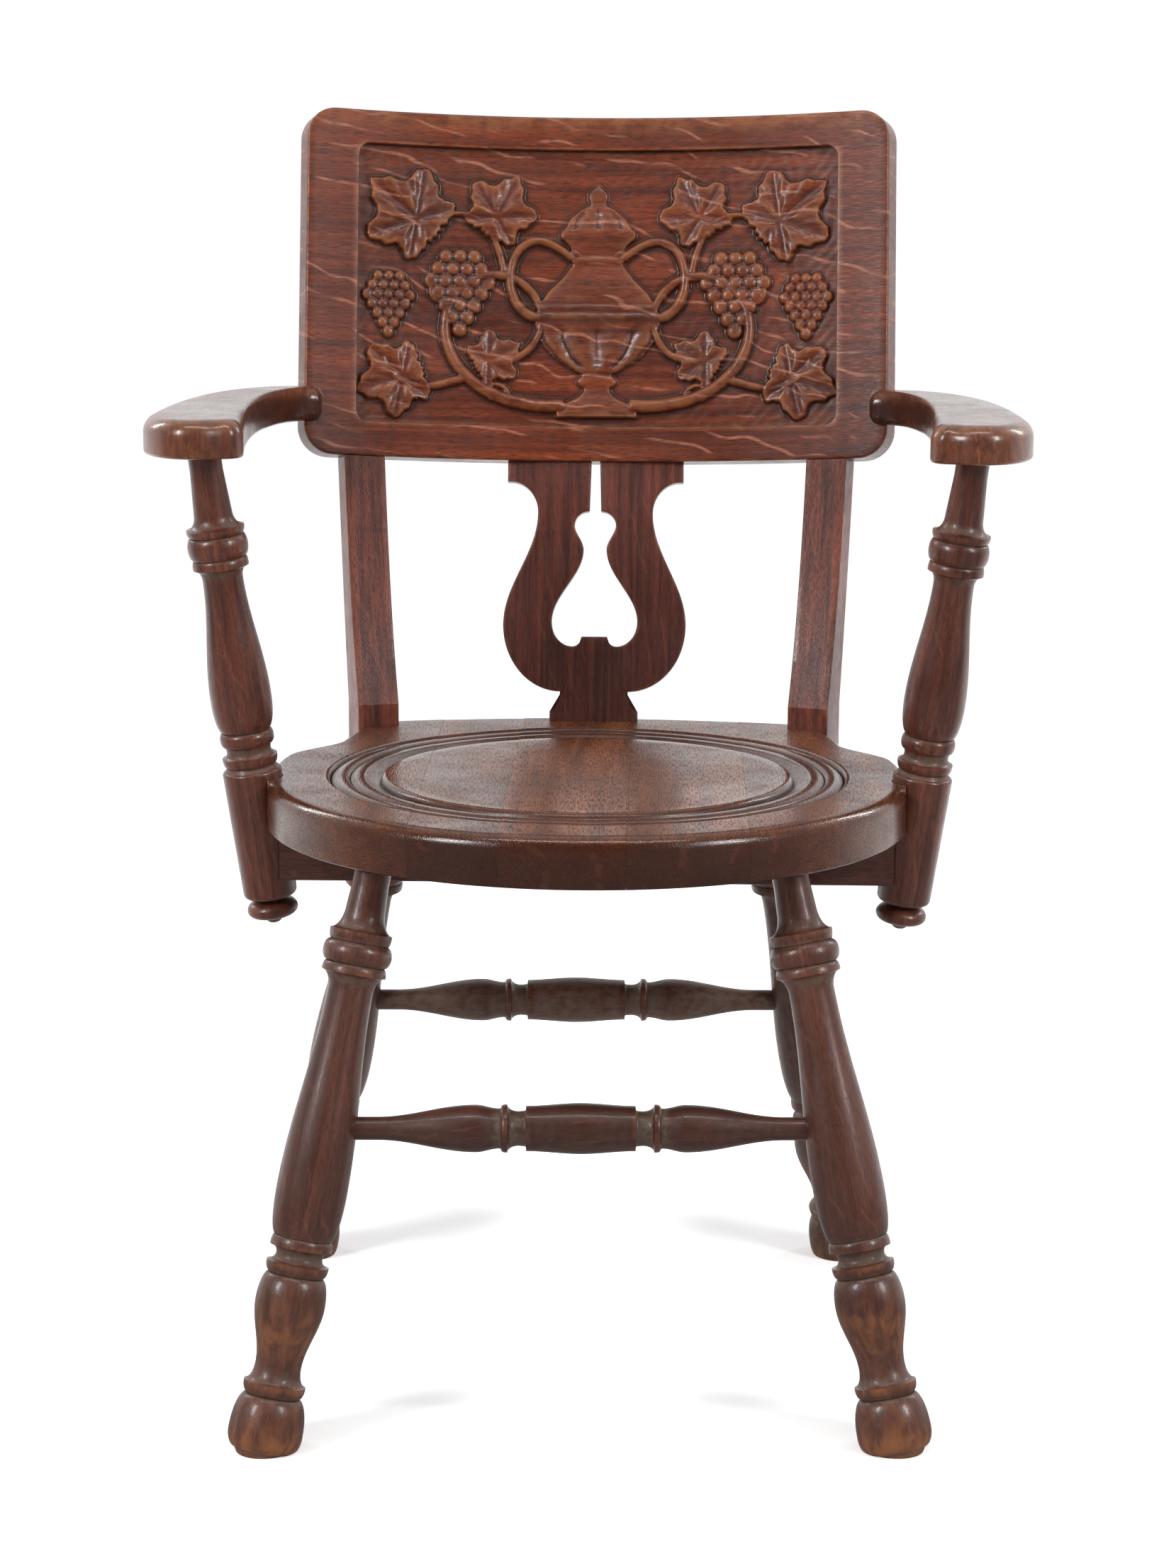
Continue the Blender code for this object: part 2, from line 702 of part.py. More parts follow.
def ring_cutter():
    """The turned mouldings, as the shape that the lathe tool takes away."""
    above = SEAT_HEIGHT + SEAT_THICKNESS
    section = [
        (RING_DISC_RADIUS, SEAT_HEIGHT),
        (RING_INNER_GROOVE_RADIUS, SEAT_HEIGHT - RING_GROOVE_DEPTH),
        (RING_INNER_RIDGE_RADIUS, SEAT_HEIGHT - RING_RIDGE_DEPTH),
        (RING_HOLLOW_RADIUS, SEAT_HEIGHT - RING_HOLLOW_DEPTH),
        (RING_OUTER_RIDGE_RADIUS, SEAT_HEIGHT - RING_RIDGE_DEPTH),
        (RING_OUTER_GROOVE_RADIUS, SEAT_HEIGHT - RING_GROOVE_DEPTH),
        (RING_OUTER_RADIUS, SEAT_HEIGHT),
        (RING_OUTER_RADIUS, above),
        (RING_DISC_RADIUS, above),
        (RING_DISC_RADIUS, SEAT_HEIGHT),
    ]
    bm = bmesh.new()
    spin_profile(bm, section, RING_SIDES)
    return bm


def arm_post_notch(side):
    """Room in the seat's side for an arm post."""
    foot, top = arm_post_axis(side)
    widest = max(diameter for shape, length, diameter in ARM_POST_LOWER_TURNING) / 2 + GAP
    middles = [point_at_height(foot, top, height).y for height in (SEAT_UNDER, SEAT_HEIGHT)]
    low = (min(side * RAIL_HALF_LENGTH, side * 2 * SEAT_RADIUS), min(middles) - widest, SEAT_UNDER - SEAT_THICKNESS)
    high = (max(side * RAIL_HALF_LENGTH, side * 2 * SEAT_RADIUS), max(middles) + widest, SEAT_HEIGHT + SEAT_THICKNESS)
    return box(low, high)


def back_post_notch(side, root):
    """Room in the seat's back corner for a back post's foot."""
    half = BACK_POST_WIDTH / 2 + GAP
    shape = box((-half, -GAP, -2 * SEAT_THICKNESS), (half, 2 * BACK_POST_FOOT_DEPTH, SEAT_THICKNESS))
    return cutter(f"back_post_notch_{side}", shape, root, back_post_frame(side))


def leg_socket(side, back, root):
    """Blind hole in the seat for a leg's top."""
    foot, top = leg_axis(side, back)
    length = (top - foot).length
    shape = rod(LEG_TOP_DIAMETER, length - LEG_SOCKET_DEPTH, length + LEG_SOCKET_DEPTH, GAP)
    return cutter(f"leg_socket_{side}_{back}", shape, root, axis_matrix(foot, top))


def splat_housing(root):
    """Room in the seat for the splat's foot."""
    frame, height = splat_matrix()
    low = (-SPLAT_FOOT_X - GAP, -GAP, -SPLAT_SEAT_HOUSING - GAP)
    high = (SPLAT_FOOT_X + GAP, SPLAT_THICKNESS + GAP, SEAT_THICKNESS)
    return cutter("splat_housing", box(low, high), root, frame)


def dowel_frames(joint):
    """Frames of the dowels across one glued joint."""
    height = SEAT_UNDER + SEAT_THICKNESS / 2 - RING_GROOVE_DEPTH / 2
    return [frame_along((joint, y, height), (1, 0, 0)) for y in DOWEL_Y]


def dowel(grow=0.0):
    """A plain round dowel, centred on its joint."""
    return rod(DOWEL_DIAMETER, -DOWEL_LENGTH / 2, DOWEL_LENGTH / 2, grow, SCREW_SIDES)


def make_seat(root, oak):
    """The five seat boards, with their mouldings, sockets and notches, and the dowels between them."""
    mouldings = cutter("seat_mouldings", ring_cutter(), root)
    splat_room = splat_housing(root)
    edges = [None, *SEAT_JOINTS, None]
    boards = []
    for index, name in enumerate(SEAT_BOARD_NAMES):
        low = None if edges[index] is None else edges[index] + GAP / 2
        high = None if edges[index + 1] is None else edges[index + 1] - GAP / 2
        piece = place(f"seat_board_{name}", slice_board(seat_blank(), low, high), oak, root)
        combine(piece, [mouldings, splat_room])
        boards.append(piece)
    for side, outer in ((-1, boards[0]), (1, boards[-1])):
        notch = cutter(f"arm_post_notch_{side}", arm_post_notch(side), root)
        sockets = [leg_socket(side, False, root), leg_socket(side, True, root)]
        holes = screw_cutters(f"seat_edge_{side}", arm_post_screws(side)[:1], PLUG_LENGTH, root)
        holes += screw_cutters(f"seat_back_{side}", back_post_screws(side), PLUG_LENGTH, root)
        combine(outer, [notch, back_post_notch(side, root), *sockets, *holes])
    rail_holes = screw_cutters("seat_rail", rail_screws(), PLUG_LENGTH, root)
    for piece in boards:
        combine(piece, rail_holes)
    for index, joint in enumerate(SEAT_JOINTS):
        for number, frame in enumerate(dowel_frames(joint), 1):
            hole = cutter(f"dowel_hole_{index}_{number}", dowel(GAP), root, frame)
            combine(boards[index], [hole])
            combine(boards[index + 1], [hole])
            place(f"seat_dowel_{len(DOWEL_Y) * index + number}", dowel(), oak, root, frame)


# Legs, stretchers and rail


def leg_points(side, back):
    """Turned outline of a leg; the long taper takes up what its length leaves."""
    foot, top = leg_axis(side, back)
    lower, upper = turning_length(LEG_LOWER_TURNING), turning_length(LEG_UPPER_TURNING)
    length = (top - foot).length
    taper = length - lower - upper - 2 * LEG_NECK_LENGTH
    rows = [("line", FOOT_ALLOWANCE, FOOT_DIAMETER), *LEG_LOWER_TURNING]
    rows += [("wave", taper, LEG_NECK_DIAMETER), *LEG_UPPER_TURNING]
    rows += [("line", LEG_NECK_LENGTH, LEG_TOP_DIAMETER)]
    rows += [("line", LEG_NECK_LENGTH + LEG_SOCKET_DEPTH, LEG_TOP_DIAMETER)]
    return turning_profile(FOOT_DIAMETER, rows, -FOOT_ALLOWANCE)


def stretcher_frame(back):
    """Frame of a stretcher at its middle, looking at the right leg, and half the distance between the legs' axes."""
    height = BACK_STRETCHER_HEIGHT if back else FRONT_STRETCHER_HEIGHT
    left, right = (point_at_height(*leg_axis(side, back), height) for side in (-1, 1))
    return axis_matrix((left + right) / 2, right), (right - left).length / 2


def stretcher_points(half):
    """Turned outline of a stretcher, the same to both sides of its drum."""
    end = half - STRETCHER_STOP
    taper = end - turning_length(STRETCHER_TURNING) - STRETCHER_END_LENGTH
    rows = [*STRETCHER_TURNING, ("wave", taper, STRETCHER_END_DIAMETER)]
    rows += [("line", STRETCHER_END_LENGTH, STRETCHER_END_DIAMETER)]
    outward = turning_profile(STRETCHER_DRUM_DIAMETER, rows)
    return [(radius, -height) for radius, height in reversed(outward[1:])] + outward


def make_legs(root, oak):
    """Four turned legs, levelled at the floor, and the two stretchers that are tenoned into them."""
    floor = cutter("floor_level", box((-1, -1, -1), (1, 1, 0)), root)
    for back, row_name in ((False, "front"), (True, "back")):
        frame, half = stretcher_frame(back)
        place(f"{row_name}_stretcher", turned(stretcher_points(half)), oak, root, frame)
        for side, side_name in ((-1, "left"), (1, "right")):
            foot, top = leg_axis(side, back)
            leg = place(f"{row_name}_{side_name}_leg", turned(leg_points(side, back)), oak, root, axis_matrix(foot, top))
            reach = sorted((side * (half - STRETCHER_STOP), side * (half - FOOT_DIAMETER - STRETCHER_END_LENGTH)))
            socket = cutter(f"stretcher_socket_{row_name}_{side}", rod(STRETCHER_END_DIAMETER, *reach, GAP), root, frame)
            combine(leg, [floor, socket])


def rail_middle_y():
    """The rail lies between the arm posts' axes."""
    foot, top = arm_post_axis(1)
    return point_at_height(foot, top, RAIL_BOTTOM + RAIL_DEPTH / 2).y


def make_rail(root, oak, steel):
    """The rail under the seat and the screws that hold it there."""
    middle = rail_middle_y()
    low = (-RAIL_HALF_LENGTH, middle - RAIL_WIDTH / 2, RAIL_BOTTOM)
    high = (RAIL_HALF_LENGTH, middle + RAIL_WIDTH / 2, SEAT_UNDER - GAP)
    rail = place("seat_rail", box(low, high), oak, root)
    combine(rail, screw_cutters("rail", rail_screws(), PLUG_LENGTH, root))
    for side in (-1, 1):
        combine(rail, screw_cutters(f"rail_end_{side}", arm_post_screws(side)[1:], PLUG_LENGTH, root))
    place_screws("rail_screw", rail_screws(), steel, root)


# Arm posts and drops


def arm_post_points():
    """Turned outline of an arm post; the long taper takes up what its length leaves."""
    foot, top = arm_post_axis(1)
    lower, upper = turning_length(ARM_POST_LOWER_TURNING), turning_length(ARM_POST_UPPER_TURNING)
    taper = (top - foot).length - lower - upper - ARM_POST_NECK_LENGTH - ARM_POST_TENON
    rows = [*ARM_POST_LOWER_TURNING, ("wave", taper, ARM_POST_NECK_DIAMETER), *ARM_POST_UPPER_TURNING]
    rows += [("line", ARM_POST_NECK_LENGTH, ARM_POST_TOP_DIAMETER)]
    rows += [("line", 2 * ARM_POST_TENON, ARM_POST_TOP_DIAMETER)]
    return turning_profile(ARM_POST_BOTTOM_DIAMETER, rows)


def make_arm_posts(root, oak, steel):
    """Two arm posts, notched over the rail, with their screws, plugs and drop finials."""
    screws = []
    for side, name in ((-1, "left"), (1, "right")):
        foot, top = arm_post_axis(side)
        frame = axis_matrix(foot, top)
        post = place(f"{name}_arm_post", turned(arm_post_points()), oak, root, frame)
        edges = sorted((0.0, side * (RAIL_HALF_LENGTH + GAP)))
        lap = box((edges[0], -1, RAIL_BOTTOM - GAP), (edges[1], 1, SEAT_HEIGHT + GAP))
        socket = rod(DROP_TENON_DIAMETER, -DROP_TENON_LENGTH, DROP_TENON_LENGTH, GAP)
        shapes = [cutter(f"rail_lap_{side}", lap, root)]
        shapes += screw_cutters(f"arm_post_{side}", arm_post_screws(side), 3 * PLUG_LENGTH, root)
        shapes.append(cutter(f"drop_socket_{side}", socket, root, frame))
        combine(post, shapes)
        screws += arm_post_screws(side)
        place(f"{name}_post_drop", turned(drop_outline()), oak, root, frame)
    place_screws("arm_post_screw", screws, steel, root)
    for number, (frame, length) in enumerate(screws, 1):
        plug = rod(PLUG_DIAMETER, GAP, PLUG_LENGTH - GAP, 0.0, SCREW_SIDES)
        place(f"arm_post_plug_{number}", plug, oak, root, frame)


def drop_outline():
    """Turned outline of a drop finial below a post's lower end, upwards from its nipple to its tenon's top."""
    points = turning_profile(DROP_TENON_DIAMETER, DROP_TURNING)
    lowest = points[-1][1]
    body = [(radius, -GAP - height) for radius, height in points]
    nipple = [(DROP_NIPPLE_DIAMETER / 2, -GAP - lowest - DROP_NIPPLE_DIAMETER / 2)]
    return nipple + list(reversed(body)) + [(DROP_TENON_DIAMETER / 2, DROP_TENON_LENGTH)]


# Arms


def arm_back_y():
    """Y of the panel's front face at an arm's tail, at the arm's upper face."""
    height = (ARM_TOP - PANEL_Z) / math.cos(PANEL_LEAN)
    return (panel_matrix() @ panel_point(ARM_TAIL_X, height, 0)).y


def arm_outline():
    """Right arm's outline, counter-clockwise from the inner front corner, and each point's upper rounding."""
    back = arm_back_y()
    inner = (ARM_INNER_X, ARM_FRONT_Y + ARM_FRONT_BOW)
    points = [(inner[0], inner[1] + ARM_INNER_CORNER)]
    points += quarter(points[0], (inner[0] + ARM_INNER_CORNER, inner[1] - ARM_FRONT_BOW / 3), 3, True)
    corner_start = (ARM_OUTER_X - ARM_OUTER_CORNER, ARM_FRONT_Y)
    points.append(((points[-1][0] + corner_start[0]) / 2, ARM_FRONT_Y + ARM_FRONT_BOW / 6))
    points.append(corner_start)
    points += quarter(corner_start, (ARM_OUTER_X, ARM_SWEEP_Y), 6, False)
    sweep_end = (PANEL_END_X, back + ARM_TAIL_DEPTH / 4)
    reach = back - ARM_SWEEP_Y
    first = (ARM_OUTER_X, ARM_SWEEP_Y + 0.62 * reach)
    second = (PANEL_END_X + 0.75 * (ARM_OUTER_X - PANEL_END_X), sweep_end[1])
    points += cubic((ARM_OUTER_X, ARM_SWEEP_Y), first, second, sweep_end, ARM_CURVE_STEPS)
    count = len(points)
    points.append((PANEL_END_X, back + 2 * PANEL_THICKNESS))
    points.append((ARM_TAIL_X, back + 2 * PANEL_THICKNESS))
    tail = (ARM_TAIL_X, back - ARM_TAIL_DEPTH)
    points.append((ARM_TAIL_X, tail[1] + ARM_INNER_CORNER))
    points.append((ARM_TAIL_X + ARM_INNER_CORNER / 3, tail[1] + ARM_INNER_CORNER / 4))
    start = points[-1]
    end = points[0]
    first = (start[0] + 0.035, start[1] - 0.006)
    second = (end[0] + ARM_WAIST, end[1] + 0.5 * (start[1] - end[1]))
    points += cubic(start, first, second, end, ARM_CURVE_STEPS)[:-1]
    rounds = [ARM_INNER_ROUND] * 2 + [ARM_TOP_ROUND] * (count - 2)
    rounds += [ARM_INNER_ROUND] * (len(points) - count)
    rounds[1] = rounds[2] = (ARM_INNER_ROUND + ARM_TOP_ROUND) / 2
    return points, rounds


def arm_frame():
    """The arms' frame: they rise a little to the front about the post's top."""
    pivot = Vector((0, ARM_POST_TOP_Y, ARM_UNDER))
    return Matrix.Translation(pivot) @ Matrix.Rotation(-ARM_RISE, 4, "X") @ Matrix.Translation(-pivot)


def make_arms(root, oak, steel):
    """Two arms, bored for their posts, cut to the panel's face and screwed from behind it."""
    margin = 2 * PANEL_THICKNESS
    face = panel_slab(PANEL_HALF_WIDTH + margin, -margin, PANEL_HEIGHT + margin, 0.0, -GAP, 3 * PANEL_THICKNESS)
    face_cutter = cutter("panel_face", face, root, panel_matrix())
    screws = []
    for side, name in ((-1, "left"), (1, "right")):
        points, rounds = arm_outline()
        if side < 0:
            points = [(-x, y) for x, y in reversed(points)]
            rounds = list(reversed(rounds))
        blank = rounded_slab(points, ARM_UNDER, ARM_TOP, rounds, ARM_LOWER_ROUND)
        arm = place(f"{name}_arm", blank, oak, root, arm_frame())
        foot, top = arm_post_axis(side)
        length = (top - foot).length
        bore = rod(ARM_POST_TOP_DIAMETER, length - 2 * ARM_POST_TENON, length + ARM_POST_TENON, GAP)
        shapes = [face_cutter, cutter(f"arm_bore_{side}", bore, root, axis_matrix(foot, top))]
        shapes += screw_cutters(f"arm_tail_{side}", arm_screws(side), PLUG_LENGTH, root)
        combine(arm, shapes)
        screws += arm_screws(side)
    place_screws("arm_screw", screws, steel, root)


# Back


def panel_slab(half_width, low, high, corner, front, back):
    """A curved slab in the panel's frame with rounded corners, between two depths."""
    columns = []
    arc = [math.pi / 2 * step / CORNER_STEPS for step in range(CORNER_STEPS + 1)]
    for angle in reversed(arc):
        columns.append((half_width - corner * (1 - math.sin(angle)), corner * (1 - math.cos(angle))))
    inner = half_width - corner
    steps = 10
    middle = [inner * (1 - step / steps) for step in range(1, steps + 1)]
    right = list(reversed(columns))
    half = [(along, 0.0) for along in reversed(middle)] + right[(0 if corner else len(right) - 1):]
    whole = [(-along, cut) for along, cut in reversed(half[1:])] + half
    bm = bmesh.new()
    rings = []
    for along, cut in whole:
        corners = ((low + cut, front), (low + cut, back), (high - cut, back), (high - cut, front))
        rings.append([bm.verts.new(panel_point(along, height, depth)) for height, depth in corners])
    for first, second in zip(rings, rings[1:]):
        for index in range(4):
            after = (index + 1) % 4
            bm.faces.new((first[index], first[after], second[after], second[index]))
    bm.faces.new(rings[0])
    bm.faces.new(list(reversed(rings[-1])))
    return bm


def back_post_outline():
    """Side outline of a back post in its own depth and height above the seat, run on past the panel's lower edge."""
    along, back, top_height = back_post_reach()
    rise = top_height - SEAT_HEIGHT
    beyond = 2 * PANEL_THICKNESS
    lower, upper = math.tan(BACK_POST_LOWER_LEAN), math.tan(BACK_POST_UPPER_LEAN)
    handle = (rise - BACK_POST_HEEL) / 3
    edges = []
    for foot, top in ((0.0, -BACK_POST_TOP_DEPTH / 2), (BACK_POST_FOOT_DEPTH, BACK_POST_TOP_DEPTH / 2)):
        start = (foot, BACK_POST_HEEL)
        end = (back + top, rise)
        lean = lower if foot == 0.0 else lower / 2
        first = (start[0] + handle * lean, start[1] + handle)
        second = (end[0] - handle * upper, end[1] - handle)
        curve = [start, *cubic(start, first, second, end, BACK_POST_STEPS)]
        curve.append((end[0] + beyond * upper, end[1] + beyond))
        edges.append([(foot, -SEAT_THICKNESS), *curve])
    return edges[0] + list(reversed(edges[1]))


def make_back_posts(root, oak, steel):
    """Two back posts, lapped over the seat's corners and tenoned into the panel. Returns the panel's mortises."""
    along, back, top_height = back_post_reach()
    screws, mortises = [], []
    margin = 4 * PANEL_THICKNESS
    zone = box((-2 * PANEL_HALF_WIDTH, -margin, -GAP), (2 * PANEL_HALF_WIDTH, 2 * margin, PANEL_HEIGHT))
    zone_cutter = cutter("above_panel_edge", zone, root, panel_matrix())
    half_width, half_depth = BACK_POST_TENON_WIDTH / 2, BACK_POST_TENON_THICKNESS / 2
    for side, name in ((-1, "left"), (1, "right")):
        turn = Matrix.Rotation(math.pi / 2, 4, "Z")
        outline = [(depth, height) for depth, height in back_post_outline()]
        blank = board(outline, BACK_POST_WIDTH)
        bmesh.ops.translate(blank, verts=blank.verts, vec=(0, -BACK_POST_WIDTH / 2, 0))
        post = place(f"{name}_back_post", blank, oak, root, back_post_frame(side) @ turn)
        frame = panel_frame(side * along, 0, PANEL_THICKNESS / 2)
        low = (-half_width, -half_depth, -BACK_POST_TENON_LENGTH / 2)
        high = (half_width, half_depth, BACK_POST_TENON_LENGTH)
        tenon = cutter(f"back_post_tenon_{side}", box(low, high), root, frame)
        combine(post, [zone_cutter])
        combine(post, [tenon], "UNION")
        combine(post, screw_cutters(f"back_post_{side}", back_post_screws(side), PLUG_LENGTH, root))
        room = box([value - GAP for value in low], [value + GAP for value in high])
        mortises.append(cutter(f"back_post_mortise_{side}", room, root, frame))
        screws += back_post_screws(side)
    place_screws("back_post_screw", screws, steel, root)
    return mortises


def splat_half_outline(height):
    """Right half of the lyre from its foot up the outside and down the slit to the key, closed on the middle."""
    top = height + SPLAT_PANEL_HOUSING
    horn = height - SPLAT_HORN_DROP
    points = [(SPLAT_FOOT_X, -SPLAT_SEAT_HOUSING), (SPLAT_FOOT_X, SPLAT_FOOT_HEIGHT)]
    points += quarter(points[-1], (SPLAT_ANKLE_X, SPLAT_ANKLE_HEIGHT), 4, False)
    points += quarter(points[-1], (SPLAT_BOWL_X, SPLAT_BOWL_HEIGHT), 8, False)
    points += wave(points[-1], (SPLAT_NECK_X, SPLAT_NECK_HEIGHT), 8)
    points += quarter(points[-1], (SPLAT_HORN_X, horn), 5, True)
    points += [(SPLAT_TOP_X, horn), (SPLAT_TOP_X, top), (SLIT_TOP_X, top), (SLIT_FOOT_X, SLIT_FOOT_HEIGHT)]
    points += quarter(points[-1], (NOTCH_X, NOTCH_HEIGHT), 4, False)
    points += wave(points[-1], (PINCH_X, PINCH_HEIGHT), 5)
    points += wave(points[-1], (HEART_X, HEART_HEIGHT), 7)
    points += quarter(points[-1], (HEART_FLOOR_X, HEART_FLOOR_HEIGHT), 5, True)
    points += quarter(points[-1], (KEY_X, KEY_HEIGHT), 3, False)
    return points


def make_back(root, oak, steel):
    """The back posts, the lyre splat and the panel that they are let into."""
    mortises = make_back_posts(root, oak, steel)
    frame, height = splat_matrix()
    right = splat_half_outline(height)
    left = [(-x, z) for x, z in reversed(right)]
    place("lyre_splat", board(right + left, SPLAT_THICKNESS), oak, root, frame)
    panel = panel_slab(PANEL_HALF_WIDTH, 0.0, PANEL_HEIGHT, PANEL_CORNER, 0.0, PANEL_THICKNESS)
    panel = place("back_panel", panel, oak, root, panel_matrix())
    field = panel_slab(
        PANEL_HALF_WIDTH - FIELD_SIDE_BORDER,
        FIELD_BOTTOM_BORDER,
        PANEL_HEIGHT - FIELD_TOP_BORDER,
        FIELD_CORNER,
        -FIELD_DEPTH,
        FIELD_DEPTH,
    )
    shapes = [cutter("sunk_field", field, root, panel_matrix()), *mortises]
    for side in (-1, 1):
        edges = sorted((side * (SLIT_TOP_X - GAP), side * (SPLAT_TOP_X + GAP)))
        low = (edges[0], -GAP, height - SPLAT_HORN_DROP / 2)
        high = (edges[1], SPLAT_THICKNESS + GAP, height + SPLAT_PANEL_HOUSING + GAP)
        shapes.append(cutter(f"splat_mortise_{side}", box(low, high), root, frame))
        shapes += screw_cutters(f"panel_{side}", arm_screws(side), PLUG_LENGTH, root)
    combine(panel, shapes)


def centre_on_floor(root):
    """Slides the chair along Y so that its outline box is centred on the origin."""
    graph = bpy.context.evaluated_depsgraph_get()
    ends = []
    for name in ("front_left_leg", "front_right_leg", "back_panel"):
        piece = bpy.data.objects[name].evaluated_get(graph)
        ends += [(piece.matrix_world @ vertex.co).y for vertex in piece.data.vertices]
    root.location.y = -(min(ends) + max(ends)) / 2


def main():
    """Builds the chair."""
    remove_everything()
    root = bpy.data.objects.new("chair", None)
    bpy.context.scene.collection.objects.link(root)
    dark = finish("dark_oak", DARK_OAK, 0.45)
    red = finish("red_oak", RED_OAK, 0.40)
    worn = finish("worn_oak", WORN_OAK, 0.50)
    steel = finish("screw_steel", STEEL, 0.45, 1.0)
    make_seat(root, worn)
    make_rail(root, dark, steel)
    make_legs(root, worn)
    make_arm_posts(root, dark, steel)
    make_arms(root, red, steel)
    make_back(root, red, steel)
    centre_on_floor(root)


main()
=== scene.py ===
"""Carved oak armchair: the detailed look of its pieces, built on the shared frame as a Blender add-on."""

import math
from collections import namedtuple

import bmesh
import bpy
import numpy as np
from mathutils import Matrix, Vector


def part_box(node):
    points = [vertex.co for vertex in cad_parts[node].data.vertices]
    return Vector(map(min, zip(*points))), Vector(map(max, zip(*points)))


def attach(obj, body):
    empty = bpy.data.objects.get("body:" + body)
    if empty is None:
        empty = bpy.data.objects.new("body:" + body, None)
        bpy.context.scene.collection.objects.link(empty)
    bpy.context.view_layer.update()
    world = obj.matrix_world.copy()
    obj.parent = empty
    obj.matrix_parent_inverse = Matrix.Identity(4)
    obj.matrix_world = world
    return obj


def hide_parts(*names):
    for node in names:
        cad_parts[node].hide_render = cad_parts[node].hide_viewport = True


bl_info = {
    "name": "Carved Oak Armchair",
    "version": (1, 0, 0),
    "blender": (4, 5, 0),
    "location": "3D View > Sidebar > Oak Chair",
    "description": "Builds a turned and carved oak armchair piece by piece, with procedural oak",
    "category": "Object",
}

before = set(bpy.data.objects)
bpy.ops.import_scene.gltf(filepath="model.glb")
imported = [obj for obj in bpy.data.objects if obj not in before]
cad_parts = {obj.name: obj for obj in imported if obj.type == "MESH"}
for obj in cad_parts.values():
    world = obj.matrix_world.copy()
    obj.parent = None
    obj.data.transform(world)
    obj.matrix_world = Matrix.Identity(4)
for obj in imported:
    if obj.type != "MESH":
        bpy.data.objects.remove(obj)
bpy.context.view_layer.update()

# The sizes below are measured from the middle of the seat's turned rings, with the chair's front towards -Y.
SEAT_RADIUS = 0.241
RING_CENTRE_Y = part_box("seat_board_middle")[0].y + SEAT_RADIUS

# Small clearance where one piece stands against another
GAP = 0.0003
BOARD_GAP = 0.0001

# Turned outlines, from the lower end up: the way the radius changes, the length, and the diameter at its end.
# line: straight; wave: an S curve; quick: steps out at once and then runs along; slow: the other way round.
FOOT_END_DIAMETER = 0.026
FOOT_DIAMETER = 0.0410
FOOT_ALLOWANCE = 0.012
LEG_LOWER_TURNING = (
    ("quick", 0.0125, 0.0532),
    ("line", 0.0015, 0.0531),
    ("slow", 0.0253, 0.0370),
    ("quick", 0.0075, 0.0443),
    ("line", 0.0012, 0.0443),
    ("quick", 0.0126, 0.0330),
    ("wave", 0.0454, 0.0500),
    ("slow", 0.0204, 0.0380),
    ("quick", 0.0070, 0.0447),
    ("line", 0.0012, 0.0447),
    ("quick", 0.0057, 0.0332),
    ("slow", 0.0054, 0.0441),
    ("line", 0.0012, 0.0441),
    ("slow", 0.0062, 0.0400),
    ("quick", 0.0350, 0.0506),
)
LEG_NECK_DIAMETER = 0.0326
LEG_UPPER_TURNING = (
    ("slow", 0.0121, 0.0463),
    ("line", 0.0010, 0.0463),
    ("slow", 0.0059, 0.0410),
    ("quick", 0.0078, 0.0497),
    ("slow", 0.0078, 0.0410),
    ("quick", 0.0070, 0.0449),
    ("line", 0.0010, 0.0449),
    ("quick", 0.0170, 0.0283),
)
LEG_NECK_LENGTH = 0.016
LEG_TOP_DIAMETER = 0.0263
LEG_TENON = 0.004

RUNG_DRUM_DIAMETER = 0.0362
RUNG_TURNING = (
    ("wave", 0.0390, 0.0322),
    ("line", 0.0003, 0.0270),
    ("quick", 0.0020, 0.0250),
    ("line", 0.0030, 0.0246),
    ("slow", 0.0080, 0.0342),
    ("line", 0.0018, 0.0342),
    ("slow", 0.0030, 0.0290),
    ("line", 0.0010, 0.0285),
    ("wave", 0.0167, 0.0338),
)
RUNG_END_DIAMETER = 0.0165
RUNG_END_LENGTH = 0.034
RUNG_STOP = 0.004

POST_BOTTOM_DIAMETER = 0.0330
POST_LOWER_TURNING = (
    ("quick", 0.0040, 0.0403),
    ("line", 0.0930, 0.0442),
    ("slow", 0.0028, 0.0400),
    ("line", 0.0030, 0.0360),
    ("quick", 0.0060, 0.0412),
    ("line", 0.0010, 0.0412),
    ("quick", 0.0045, 0.0330),
    ("slow", 0.0045, 0.0360),
    ("quick", 0.0055, 0.0404),
    ("slow", 0.0055, 0.0345),
    ("quick", 0.0250, 0.0456),
)
POST_NECK_DIAMETER = 0.0300
POST_UPPER_TURNING = (
    ("slow", 0.0086, 0.0415),
    ("line", 0.0010, 0.0415),
    ("slow", 0.0060, 0.0380),
    ("quick", 0.0085, 0.0447),
    ("slow", 0.0085, 0.0380),
    ("quick", 0.0048, 0.0430),
    ("line", 0.0010, 0.0430),
    ("quick", 0.0102, 0.0284),
)
POST_NECK_LENGTH = 0.0316
POST_TOP_DIAMETER = 0.0244
POST_TENON = 0.004

DROP_NECK_DIAMETER = 0.010
DROP_TURNING = (
    ("line", 0.0015, 0.0105),
    ("line", 0.0006, 0.0150),
    ("quick", 0.0080, 0.0385),
    ("slow", 0.0060, 0.0230),
    ("quick", 0.0020, 0.0120),
    ("slow", 0.0035, 0.0004),
)

